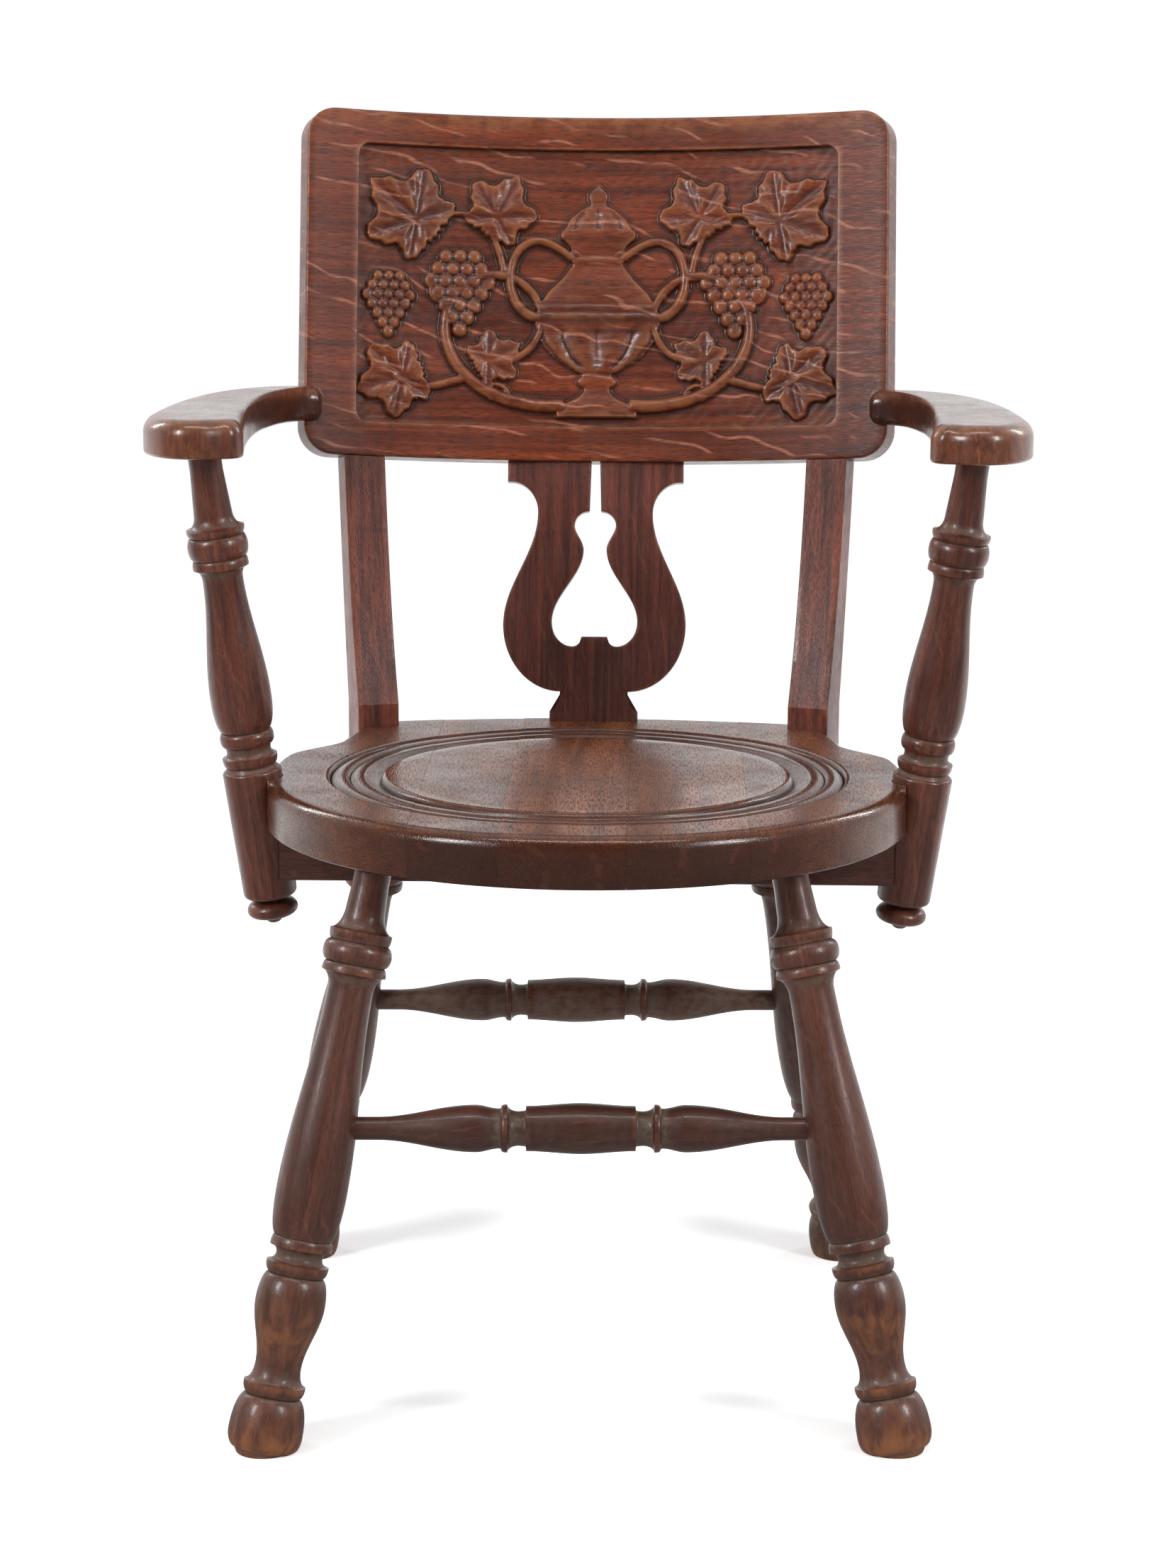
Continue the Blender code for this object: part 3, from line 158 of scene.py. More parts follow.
# Seat mouldings from the middle disc outwards: the way the height changes, the width, and the height at its end
DISC_RADIUS = 0.1500
SEAT_MOULDING = (
    ("slow", 0.0055, -0.0055),
    ("line", 0.0115, -0.0016),
    ("quick", 0.0035, -0.0008),
    ("slow", 0.0080, -0.0042),
    ("quick", 0.0070, -0.0006),
    ("slow", 0.0075, -0.0052),
    ("quick", 0.0047, 0.0000),
)
SEAT_BOARDS = ("left", "inner_left", "middle", "inner_right", "right")
SEAT_JOINTS = (-0.122, -0.057, 0.032, 0.118)
SEAT_BOARD_LIFTS = (0.00005, -0.00020, 0.00010, -0.00015, 0.00005)
SEAT_GRAIN = (0.4, 1.0, 0.9)
SEAT_BOARD_STAINS = (0.22, 0.34, 0.0, 0.12, 0.28)

# The lyre's right half, from the panel down: points (across, up) and the curve that leads to each
SPLAT_OUTSIDE = (
    ("line", 0.0718, -0.0165),
    ("line", 0.0695, -0.0165),
    ("level", 0.0469, 0.1710),
    ("wave", 0.0746, 0.0790),
    ("upright", 0.0277, 0.0248),
    ("upright", 0.0360, 0.0080),
)
SPLAT_INSIDE = (
    ("line", 0.0047, 0.1720),
    ("level", 0.0168, 0.1610),
    ("wave", 0.0094, 0.1410),
    ("wave", 0.0349, 0.0820),
    ("upright", 0.0180, 0.0616),
    ("level", 0.0105, 0.0696),
)

ARM_SCREW_INSET = 0.013
ARM_SCREW_SPACING = 0.012
BACK_POST_SCREW_SPACING = 0.016

TURNED_SIDES = 72
# Round pieces show the same grain on every side, so theirs is as fine in depth as it is across.
TURNED_GRAIN = (1.0, 2.0, 1.0)
Grid = namedtuple("Grid", "points grain wear grime stain", defaults=(0.0,))


# Sizes and colours that a user may change


def length(name, description, default):
    """A size in metres."""
    return bpy.props.FloatProperty(name=name, description=description, default=default, unit="LENGTH", precision=4)


def turn(name, description, degrees):
    """An angle, given in degrees."""
    return bpy.props.FloatProperty(
        name=name, description=description, default=math.radians(degrees), subtype="ANGLE"
    )


def amount(name, description, default):
    """A plain number."""
    return bpy.props.FloatProperty(name=name, description=description, default=default, min=0.0)


def colour(name, description, red, green, blue):
    """A colour, given as it looks on a screen, from 0 to 255."""
    screen = np.array([red, green, blue]) / 255
    linear = np.where(screen <= 0.04045, screen / 12.92, ((screen + 0.055) / 1.055) ** 2.4)
    return bpy.props.FloatVectorProperty(
        name=name, description=description, default=tuple(linear), size=3, min=0.0, max=1.0, subtype="COLOR"
    )


class OakSeatSizes(bpy.types.PropertyGroup):
    """Sizes of the seat."""

    height: length("Height", "Floor to the seat's upper face", 0.445)
    thickness: length("Thickness", "Thickness of the seat's boards", 0.037)
    radius: length("Radius", "Radius of the round front", SEAT_RADIUS)
    shoulder_y: length("Shoulder", "How far back the round front runs", 0.060)
    waist_x: length("Waist half width", "Half the width at the waist", 0.1955)
    waist_y: length("Waist place", "How far back the waist is", 0.135)
    back_y: length("Back edge", "How far back the middle of the back edge is", 0.2425)
    front_round: length("Front rounding", "Rounding of the upper edge in front", 0.010)
    back_round: length("Back rounding", "Rounding of the upper edge behind", 0.003)
    lower_round: length("Lower rounding", "Rounding of the lower edge", 0.002)
    rail_half: length("Rail half length", "Half the length of the rail under the seat", 0.230)
    rail_depth: length("Rail depth", "Height of the rail under the seat", 0.041)
    rail_width: length("Rail width", "Width of the rail under the seat", 0.034)


class OakLegSizes(bpy.types.PropertyGroup):
    """Where the legs stand and how high the stretchers are."""

    front_foot_x: length("Front foot X", "Half the spread of the front feet", 0.2262)
    front_foot_y: length("Front foot Y", "Place of the front feet", -0.2370)
    front_top_x: length("Front top X", "Half the spread of the front legs at the seat", 0.1475)
    front_top_y: length("Front top Y", "Place of the front legs at the seat", -0.1540)
    back_foot_x: length("Back foot X", "Half the spread of the back feet", 0.2250)
    back_foot_y: length("Back foot Y", "Place of the back feet", 0.2040)
    back_top_x: length("Back top X", "Half the spread of the back legs at the seat", 0.1470)
    back_top_y: length("Back top Y", "Place of the back legs at the seat", 0.1090)
    askew: turn("Askew", "How far the set of legs is turned under the seat", 2.0)
    shift: length("Shift", "How far the set of legs stands to one side", -0.006)
    front_rung: length("Front stretcher", "Height of the front stretcher", 0.2235)
    back_rung: length("Back stretcher", "Height of the back stretcher", 0.2300)


class OakArmSizes(bpy.types.PropertyGroup):
    """Sizes of the arms and their posts."""

    post_x: length("Post X", "Place of a post at the seat's top", 0.2505)
    post_y: length("Post Y", "Place of a post at the seat's top", -0.0200)
    post_top_x: length("Post top X", "Place of a post under the arm", 0.2815)
    post_top_y: length("Post top Y", "Place of a post under the arm", -0.0380)
    below_seat: length("Below seat", "How far a post runs below the seat's top", 0.0945)
    top: length("Arm height", "Floor to an arm's upper face", 0.718)
    thickness: length("Arm thickness", "Thickness of an arm", 0.0278)
    rise: turn("Rise", "How much an arm rises to the front", 0.5)
    inner_x: length("Inner edge", "Place of an arm's inner front corner", 0.2450)
    outer_x: length("Outer edge", "Place of an arm's outer edge", 0.3225)
    front_y: length("Front", "Place of an arm's front end", -0.120)
    front_bow: length("Front bow", "How far the front end is bowed", 0.012)
    inner_corner: length("Inner corner", "Radius of the inner front corner", 0.011)
    outer_corner: length("Outer corner", "Radius of the outer front corner", 0.042)
    sweep_y: length("Sweep", "Where the outer edge starts to sweep in", -0.050)
    tail_lap: length("Tail lap", "How far an arm's tail laps the panel's end", 0.0144)
    tail_depth: length("Tail depth", "Depth of an arm's tail", 0.020)
    waist: length("Waist", "How far the inner edge is hollowed", 0.018)
    top_round: length("Upper rounding", "Rounding of the upper edge", 0.012)
    tail_round: length("Tail rounding", "Rounding of the tail's lower edge", 0.009)
    inner_round: length("Inner rounding", "Rounding of the inner upper edge", 0.005)
    lower_round: length("Lower rounding", "Rounding of the lower edge", 0.003)


class OakBackSizes(bpy.types.PropertyGroup):
    """Sizes of the panel, its posts and the lyre splat."""

    panel_y: length("Panel Y", "Place of the panel's lower edge", 0.265)
    panel_z: length("Panel Z", "Height of the panel's lower edge", 0.6535)
    panel_height: length("Panel height", "Height of the panel along its lean", 0.2825)
    panel_half: length("Panel half width", "Half the panel's width along its curve", 0.2390)
    curve: length("Panel curve", "Radius of the panel's curve", 0.690)
    panel_thickness: length("Panel thickness", "Thickness of the panel", 0.025)
    lean: turn("Panel lean", "How far the panel leans back", 13.0)
    corner: length("Panel corner", "Radius of the panel's corners", 0.024)
    arris: length("Panel arris", "Rounding of the panel's edges", 0.0022)
    field_side: length("Side border", "Border at the sides of the carved field", 0.0425)
    field_top: length("Top border", "Border above the carved field", 0.027)
    field_bottom: length("Bottom border", "Border below the carved field", 0.028)
    field_corner: length("Field corner", "Radius of the carved field's corners", 0.010)
    field_depth: length("Field depth", "Depth of the carved field's ground", 0.007)
    carving_step: length("Carving step", "Distance between the carving's points", 0.00074)
    post_inset: length("Post inset", "How far in from the panel's ends the back posts are", 0.066)
    post_y: length("Post Y", "Place of a back post's front at the seat", 0.198)
    post_turn: turn("Post turn", "How far a back post is turned outwards", 18.0)
    post_width: length("Post width", "Width of a back post", 0.0335)
    post_foot: length("Post foot depth", "Depth of a back post at the seat", 0.038)
    post_head: length("Post head depth", "Depth of a back post at the panel", 0.026)
    post_heel: length("Post heel", "Height of a back post's upright heel", 0.017)
    post_lower_lean: turn("Lower lean", "Lean of a back post above its heel", 20.0)
    post_upper_lean: turn("Upper lean", "Lean of a back post under the panel", 8.0)
    splat_y: length("Splat Y", "Place of the splat's front at the seat", 0.2235)
    splat_thickness: length("Splat thickness", "Thickness of the splat", 0.013)
    splat_setback: length("Splat setback", "How far the splat stands behind the panel's front", 0.0045)
    splat_top_x: length("Splat top", "Half the splat's width at the panel", 0.0718)
    slit_top_x: length("Slit top", "Half the slit's width at the panel", 0.0034)


class OakColours(bpy.types.PropertyGroup):
    """Colours of the stained oak."""

    seat_dark: colour("Seat dark", "Darker oak of the seat", 97, 51, 29)
    seat_light: colour("Seat light", "Lighter oak of the seat", 142, 86, 52)
    leg_dark: colour("Leg dark", "Darker oak of the legs", 74, 42, 32)
    leg_light: colour("Leg light", "Lighter oak of the legs", 98, 57, 44)
    post_dark: colour("Post dark", "Darker oak of the arm posts", 73, 38, 29)
    post_light: colour("Post light", "Lighter oak of the arm posts", 110, 61, 45)
    back_dark: colour("Panel dark", "Darker oak of the panel", 84, 33, 17)
    back_light: colour("Panel light", "Lighter oak of the panel", 130, 58, 29)
    frame_dark: colour("Frame dark", "Darker oak of the splat and back posts", 74, 34, 26)
    frame_light: colour("Frame light", "Lighter oak of the splat and back posts", 132, 68, 52)
    arm_dark: colour("Arm dark", "Darker oak of the arms", 82, 44, 30)
    arm_light: colour("Arm light", "Lighter oak of the arms", 122, 72, 50)
    fleck: colour("Flecks", "Pale flecks of quarter-sawn oak", 174, 109, 85)
    pore: colour("Pores", "Open pores", 30, 16, 12)
    worn: colour("Worn edges", "Edges where the stain has rubbed off", 146, 90, 52)
    dust: colour("Dust", "Old dust in hollows", 104, 88, 74)
    steel: colour("Screws", "Old steel screws", 96, 92, 86)


class OakStage(bpy.types.PropertyGroup):
    """Floor and light."""

    floor: colour("Floor", "Colour of the floor", 240, 240, 240)
    floor_glow: amount("Floor white", "White that the camera sees on the floor besides its light", 0.42)
    sky: amount("Surrounding light", "Strength of the even light from all round", 0.17)
    key_power: amount("Key lamp", "Power of the left lamp", 74.0)
    fill_power: amount("Fill lamp", "Power of the right lamp", 62.0)
    top_power: amount("Top lamp", "Power of the lamp above", 22.0)
    rim_power: amount("Rim lamps", "Power of each lamp behind the sides", 10.0)


# Curves and grids


def ease(values, low, high):
    """0 below low, 1 above high, and a smooth S between."""
    share = np.clip((values - low) / (high - low), 0, 1)
    return share * share * (3 - 2 * share)


def shaped(first, rows, fine=0.0022):
    """Places and values along a run of shapes: each row's value goes to its end value over its length.

    A quarter ellipse gives quick and slow, half a cosine gives wave.
    """
    places, values = [np.zeros(1)], [np.array([first])]
    for shape, run, end in rows:
        steps = max(3 if shape == "line" else 9, int(run / fine))
        share = np.arange(1, steps + 1) / steps
        quarter = share * np.pi / 2
        along, change = {
            "line": (share, share),
            "wave": (share, (1 - np.cos(np.pi * share)) / 2),
            "quick": (1 - np.cos(quarter), np.sin(quarter)),
            "slow": (np.sin(quarter), 1 - np.cos(quarter)),
        }[shape]
        places.append(places[-1][-1] + run * along)
        values.append(values[-1][-1] + (end - values[-1][-1]) * change)
    return np.concatenate(places), np.concatenate(values)


def run_length(rows):
    """Length of a run of shapes."""
    return sum(run for shape, run, end in rows)


def cubic(start, first, second, end, steps):
    """Points of a cubic curve, both ends included."""
    share = np.linspace(0, 1, steps)[:, None]
    rest = 1 - share
    corners = [np.asarray(corner, float) for corner in (start, first, second, end)]
    return rest**3 * corners[0] + 3 * rest**2 * share * corners[1] + 3 * rest * share**2 * corners[2] + share**3 * corners[3]


def bend(start, end, way, steps):
    """Points after start, up to end: a straight line, a quarter ellipse that leaves upright or level, or an S curve."""
    share = np.arange(1, steps + 1) / steps
    quarter = share * np.pi / 2
    across, up = {
        "line": (share, share),
        "upright": (1 - np.cos(quarter), np.sin(quarter)),
        "level": (np.sin(quarter), 1 - np.cos(quarter)),
        "wave": ((1 - np.cos(np.pi * share)) / 2, share),
    }[way]
    start, end = np.asarray(start, float), np.asarray(end, float)
    return start + (end - start) * np.stack([across, up], axis=-1)


def resample(path, count):
    """The same path with evenly spaced points."""
    steps = np.linalg.norm(np.diff(path, axis=0), axis=1)
    places = np.concatenate([[0], np.cumsum(steps)])
    even = np.linspace(0, places[-1], count)
    return np.stack([np.interp(even, places, path[:, axis]) for axis in range(path.shape[1])], axis=-1)


def high_spots(places, values, reach, full):
    """How far each point of an outline stands proud of, or lies below, its neighbours within a reach, from -1 to 1."""
    weights = np.exp(-0.5 * ((places[:, None] - places[None, :]) / reach) ** 2)
    weights *= np.gradient(places)[None, :] + 1e-9
    level = weights @ values / weights.sum(axis=1)
    return np.clip((values - level) / full, -1, 1)


def axes_along(start, end):
    """Three axes as rows, the third along a line, and the line's length."""
    start, end = np.asarray(start, float), np.asarray(end, float)
    run = np.linalg.norm(end - start)
    along = (end - start) / run
    across = np.cross((0, 1, 0), along) if abs(along[1]) < 0.9 else np.cross((0, 0, 1), along)
    across /= np.linalg.norm(across)
    return np.stack([across, np.cross(along, across), along]), run


def grain_offset(number):
    """A place in the block of oak for each piece, so that no two show the same grain."""
    return np.array([0.317, 0.731, 1.193]) * number


def turned_grid(places, radii, start, end, number, rubbed=0.0, stain=0.0, dust=0.0):
    """Surface of revolution: each radius of the outline is carried round the line from start to end."""
    axes, _ = axes_along(start, end)
    spots = high_spots(places, radii, 0.0030, 0.0009)
    wear = np.clip(0.4 * spots + rubbed, 0, 1)
    places = np.concatenate([places[:1], places, places[-1:]])
    radii = np.concatenate([[0], radii, [0]])
    spots = np.concatenate([spots[:1], spots, spots[-1:]])
    wear = np.concatenate([wear[:1], wear, wear[-1:]])
    angles = np.linspace(0, 2 * np.pi, TURNED_SIDES, endpoint=False)
    uneven = 1 + 0.004 * np.sin(2 * angles + number) + 0.002 * np.sin(3 * angles + 2 * number)
    own = np.stack(
        [
            radii[:, None] * np.cos(angles) * uneven,
            radii[:, None] * np.sin(angles) * uneven,
            np.repeat(places[:, None], TURNED_SIDES, axis=1),
        ],
        axis=-1,
    )
    points = np.asarray(start, float) + own @ axes
    wear = np.repeat(wear[:, None], TURNED_SIDES, axis=1)
    grime = np.repeat(np.clip(dust - spots, 0, 1)[:, None], TURNED_SIDES, axis=1)
    return Grid(points, own * TURNED_GRAIN + grain_offset(number), wear, grime, stain)


def with_ends(points):
    """A stack of closed sections with both ends drawn to their middles."""
    return np.concatenate(
        [
            np.broadcast_to(points[0].mean(axis=0), points[:1].shape),
            points,
            np.broadcast_to(points[-1].mean(axis=0), points[-1:].shape),
        ]
    )


def rounded_loop(low, high, radius, sides, corner_steps=4):
    """A rectangle with rounded corners, counter-clockwise, and how near each point is to a corner's middle."""
    points, edges = [], []
    quarter = np.linspace(0, np.pi / 2, corner_steps)
    corners = ((high[0], low[1], -0.5), (high[0], high[1], 0.0), (low[0], high[1], 0.5), (low[0], low[1], 1.0))
    for x, y, start in corners:
        middle = (x + (radius if x == low[0] else -radius), y + (radius if y == low[1] else -radius))
        angles = quarter + start * np.pi
        arc = np.stack([middle[0] + radius * np.cos(angles), middle[1] + radius * np.sin(angles)], axis=-1)
        if points:
            between = np.linspace(points[-1][-1], arc[0], sides + 2)[1:-1]
            points.append(between)
            edges.append(np.zeros(sides))
        points.append(arc)
        edges.append(np.ones(corner_steps))
    between = np.linspace(points[-1][-1], points[0][0], sides + 2)[1:-1]
    points.append(between)
    edges.append(np.zeros(sides))
    return np.concatenate(points), np.concatenate(edges)


def grid_quads(rows, columns, closed, first):
    """Corner numbers of a grid's faces, closed across its columns or not."""
    row, column = np.meshgrid(np.arange(rows - 1), np.arange(columns if closed else columns - 1), indexing="ij")
    after = (column + 1) % columns
    corners = [row * columns + column, row * columns + after, (row + 1) * columns + after, (row + 1) * columns + column]
    return first + np.stack(corners, axis=-1).reshape(-1, 4)


def add_piece(name, grids, material, nodes, cuts=(), closed=True, crease=38.0):
    """Makes one closed piece of its grids, cuts it by planes, and puts it on the frame in place of CAD nodes."""
    flat, quads, first = [], [], 0
    for grid in grids:
        rows, columns = grid.points.shape[:2]
        quads.append(grid_quads(rows, columns, closed, first))
        layers = [*grid[:4], np.broadcast_to(grid.stain, (rows, columns))]
        flat.append([layer.reshape(rows * columns, -1) for layer in layers])
        first += rows * columns
    points, grain, *marks = (np.concatenate(layer) for layer in zip(*flat))
    points = points + np.array([0, RING_CENTRE_Y, 0])
    quads = np.concatenate(quads)
    mesh = bpy.data.meshes.new(name)
    mesh.vertices.add(len(points))
    mesh.vertices.foreach_set("co", points.astype(np.float32).ravel())
    mesh.loops.add(quads.size)
    mesh.loops.foreach_set("vertex_index", quads.astype(np.int32).ravel())
    mesh.polygons.add(len(quads))
    mesh.polygons.foreach_set("loop_start", np.arange(0, quads.size, 4, dtype=np.int32))
    mesh.update(calc_edges=True)
    mesh.attributes.new("grain", "FLOAT_VECTOR", "POINT").data.foreach_set("vector", grain.astype(np.float32).ravel())
    for label, values in zip(("wear", "grime", "stain"), marks):
        layer = mesh.attributes.new(label, "FLOAT", "POINT")
        layer.data.foreach_set("value", values.astype(np.float32).ravel())
    bm = bmesh.new()
    bm.from_mesh(mesh)
    bmesh.ops.remove_doubles(bm, verts=bm.verts[:], dist=2e-6)
    bmesh.ops.dissolve_degenerate(bm, edges=bm.edges[:], dist=1e-6)
    for place, normal in cuts:
        everything = bm.verts[:] + bm.edges[:] + bm.faces[:]
        place = Vector(place) + Vector((0, RING_CENTRE_Y, 0))
        bmesh.ops.bisect_plane(bm, geom=everything, plane_co=place, plane_no=normal, clear_outer=True)
        rim = [edge for edge in bm.edges if edge.is_boundary]
        bmesh.ops.edgeloop_fill(bm, edges=rim)
    bmesh.ops.recalc_face_normals(bm, faces=bm.faces[:])
    bm.to_mesh(mesh)
    bm.free()
    mesh.shade_smooth()
    mesh.set_sharp_from_angle(angle=math.radians(crease))
    mesh.materials.append(material)
    piece = bpy.data.objects.new(name, mesh)
    bpy.context.scene.collection.objects.link(piece)
    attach(piece, "root")
    if nodes:
        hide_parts(*nodes)
    return piece


# Oak


def new_group(name, inputs, outputs):
    """An empty shader group with named sockets, and its two end nodes."""
    group = bpy.data.node_groups.new(name, "ShaderNodeTree")
    for direction, sockets in (("INPUT", inputs), ("OUTPUT", outputs)):
        for label, kind in sockets:
            group.interface.new_socket(label, in_out=direction, socket_type=kind)
    return group, group.nodes.new("NodeGroupInput"), group.nodes.new("NodeGroupOutput")


def stretched_noise(tree, vector, scale, detail, distortion, roughness=0.55):
    """Noise that is scaled apart across and along the grain. Returns its value."""
    mapping = tree.nodes.new("ShaderNodeMapping")
    mapping.inputs["Scale"].default_value = scale
    tree.links.new(vector, mapping.inputs["Vector"])
    noise = tree.nodes.new("ShaderNodeTexNoise")
    noise.inputs["Scale"].default_value = 1.0
    noise.inputs["Detail"].default_value = detail
    noise.inputs["Roughness"].default_value = roughness
    noise.inputs["Distortion"].default_value = distortion
    tree.links.new(mapping.outputs["Vector"], noise.inputs["Vector"])
    return noise.outputs["Fac"]


def spread(tree, value, low, high, to_low=0.0, to_high=1.0):
    """A value between low and high, spread smoothly over another range."""
    node = tree.nodes.new("ShaderNodeMapRange")
    node.interpolation_type = "SMOOTHSTEP"
    for label, number in (("From Min", low), ("From Max", high), ("To Min", to_low), ("To Max", to_high)):
        node.inputs[label].default_value = number
    tree.links.new(value, node.inputs["Value"])
    return node.outputs["Result"]


def arithmetic(tree, operation, first, second):
    """One sum, product or the like of two values, which are sockets or numbers."""
    node = tree.nodes.new("ShaderNodeMath")
    node.operation = operation
    for socket, value in zip(node.inputs, (first, second)):
        if isinstance(value, (int, float)):
            socket.default_value = value
        else:
            tree.links.new(value, socket)
    return node.outputs["Value"]


def blend(tree, share, first, second):
    """Two colours mixed by a share."""
    node = tree.nodes.new("ShaderNodeMix")
    node.data_type = "RGBA"
    tree.links.new(share, node.inputs["Factor"])
    for socket, value in ((node.inputs[6], first), (node.inputs[7], second)):
        if isinstance(value, tuple):
            socket.default_value = value
        else:
            tree.links.new(value, socket)
    return node.outputs[2]


def product(tree, first, second):
    """Two colours multiplied."""
    node = tree.nodes.new("ShaderNodeMix")
    node.data_type = "RGBA"
    node.blend_type = "MULTIPLY"
    node.inputs["Factor"].default_value = 1.0
    tree.links.new(first, node.inputs[6])
    tree.links.new(second, node.inputs[7])
    return node.outputs[2]


def oak_figure_group():
    """Oak in the block, with its grain along Z: bands, a broad change of tone, pale flecks and open pores."""
    inputs = [("Grain", "NodeSocketVector"), ("Dark", "NodeSocketColor"), ("Light", "NodeSocketColor")]
    inputs += [("Fleck", "NodeSocketColor"), ("Pore", "NodeSocketColor")]
    inputs += [("Fleck Amount", "NodeSocketFloat"), ("Pore Amount", "NodeSocketFloat")]
    inputs += [("Stain", "NodeSocketFloat")]
    outputs = [("Color", "NodeSocketColor"), ("Height", "NodeSocketFloat"), ("Pores", "NodeSocketFloat")]
    tree, start, end = new_group("oak_figure", inputs, outputs)
    grain = start.outputs["Grain"]
    bands = spread(tree, stretched_noise(tree, grain, (190, 48, 6), 4, 0.4, 0.6), 0.30, 0.70)
    # The stored darkening share flattens the bands, fills the pores and tints the colour: real stain on some pieces,
    # painted shade on others.
    bands = arithmetic(tree, "MULTIPLY", bands, spread(tree, start.outputs["Stain"], 0.0, 1.0, 1.0, 0.1))
    tone = spread(tree, stretched_noise(tree, grain, (17, 17, 5), 2, 0.3), 0.3, 0.7, 0.0, 1.0)
    base = blend(tree, bands, start.outputs["Dark"], start.outputs["Light"])
    shade = blend(tree, tone, (0.80, 0.78, 0.77, 1.0), (1.20, 1.16, 1.12, 1.0))
    whole = product(tree, base, shade)
    place = tree.nodes.new("ShaderNodeSeparateXYZ")
    tree.links.new(grain, place.inputs["Vector"])
    slant = arithmetic(tree, "MULTIPLY", place.outputs["Z"], 15.0)
    streaks = arithmetic(tree, "ADD", arithmetic(tree, "MULTIPLY", place.outputs["X"], 62.0), slant)
    wavy = arithmetic(tree, "MULTIPLY", stretched_noise(tree, grain, (10, 10, 9), 2.0, 0.2), 3.4)
    streaks = arithmetic(tree, "FRACT", arithmetic(tree, "ADD", streaks, wavy), 0.0)
    ribbon = arithmetic(tree, "ABSOLUTE", arithmetic(tree, "SUBTRACT", streaks, 0.5), 0.0)
    ribbon = spread(tree, ribbon, 0.03, 0.11, 1.0, 0.0)
    patch = spread(tree, stretched_noise(tree, grain, (70, 70, 16), 1, 0.2), 0.48, 0.60)
    fleck = arithmetic(tree, "MULTIPLY", arithmetic(tree, "MULTIPLY", ribbon, patch), start.outputs["Fleck Amount"])
    flecked = blend(tree, fleck, whole, start.outputs["Fleck"])
    pores = spread(tree, stretched_noise(tree, grain, (2200, 1000, 100), 1, 0.0), 0.44, 0.64)
    pores = arithmetic(tree, "MULTIPLY", pores, start.outputs["Pore Amount"])
    filled = arithmetic(tree, "SUBTRACT", 1.0, arithmetic(tree, "MULTIPLY", start.outputs["Stain"], 0.5))
    pores = arithmetic(tree, "MULTIPLY", pores, filled)
    done = blend(tree, pores, flecked, start.outputs["Pore"])
    # Dark tint for real stain and for painted shade.
    stained = blend(tree, start.outputs["Stain"], (1.0, 1.0, 1.0, 1.0), (0.30, 0.24, 0.22, 1.0))
    tree.links.new(product(tree, done, stained), end.inputs["Color"])
    tree.links.new(pores, end.inputs["Pores"])
    low = arithmetic(tree, "MULTIPLY", pores, -1.0)
    tree.links.new(arithmetic(tree, "ADD", low, arithmetic(tree, "MULTIPLY", bands, 0.25)), end.inputs["Height"])
    return tree


def oak_use_group():
    """Signs of use: rubbed high spots, dust in the hollows, and a finish that is duller where it is dusty."""
    inputs = [("Color", "NodeSocketColor"), ("Grain", "NodeSocketVector"), ("Wear", "NodeSocketFloat")]
    inputs += [("Grime", "NodeSocketFloat"), ("Worn", "NodeSocketColor"), ("Dust", "NodeSocketColor")]
    inputs += [("Wear Amount", "NodeSocketFloat"), ("Dust Amount", "NodeSocketFloat"), ("Gloss", "NodeSocketFloat")]
    inputs += [("Polish", "NodeSocketFloat"), ("Pores", "NodeSocketFloat"), ("Varnish", "NodeSocketFloat")]
    outputs = [("Color", "NodeSocketColor"), ("Roughness", "NodeSocketFloat"), ("Coat", "NodeSocketFloat")]
    tree, start, end = new_group("oak_use", inputs, outputs)
    patches = stretched_noise(tree, start.outputs["Grain"], (95, 95, 60), 4, 0.4)
    rubbed = arithmetic(tree, "MULTIPLY", start.outputs["Wear"], spread(tree, patches, 0.32, 0.68, 0.45, 1.2))
    rubbed = arithmetic(tree, "MULTIPLY", spread(tree, rubbed, 0.15, 0.95), start.outputs["Wear Amount"])
    dusty = stretched_noise(tree, start.outputs["Grain"], (140, 140, 140), 3, 0.0)
    dusty = arithmetic(tree, "MULTIPLY", start.outputs["Grime"], spread(tree, dusty, 0.3, 0.7, 0.4, 1.2))
    dusty = arithmetic(tree, "MULTIPLY", spread(tree, dusty, 0.1, 0.9), start.outputs["Dust Amount"])
    worn = blend(tree, rubbed, start.outputs["Color"], start.outputs["Worn"])
    tree.links.new(blend(tree, dusty, worn, start.outputs["Dust"]), end.inputs["Color"])
    smear = spread(tree, stretched_noise(tree, start.outputs["Grain"], (30, 30, 22), 3, 0.5), 0.3, 0.7, -0.06, 0.08)
    rough = arithmetic(tree, "ADD", start.outputs["Gloss"], smear)
    rough = arithmetic(tree, "ADD", rough, arithmetic(tree, "MULTIPLY", dusty, 0.35))
    rough = arithmetic(tree, "ADD", rough, arithmetic(tree, "MULTIPLY", start.outputs["Pores"], 0.1))
    polished = arithmetic(tree, "MULTIPLY", start.outputs["Wear"], start.outputs["Polish"])
    rough = arithmetic(tree, "MAXIMUM", arithmetic(tree, "SUBTRACT", rough, polished), 0.1)
    tree.links.new(rough, end.inputs["Roughness"])
    varnish = start.outputs["Varnish"]
    for dull in (start.outputs["Pores"], dusty):
        varnish = arithmetic(tree, "MULTIPLY", varnish, arithmetic(tree, "SUBTRACT", 1.0, dull))
    tree.links.new(varnish, end.inputs["Coat"])
    return tree


def shader_group(name, make):
    """A shader group by its name, made the first time that it is asked for."""
    found = bpy.data.node_groups.get(name)
    return found if found else make()


def attribute_node(tree, name):
    """Reads a layer that was stored with the piece's points."""
    node = tree.nodes.new("ShaderNodeAttribute")
    node.attribute_name = name
    return node


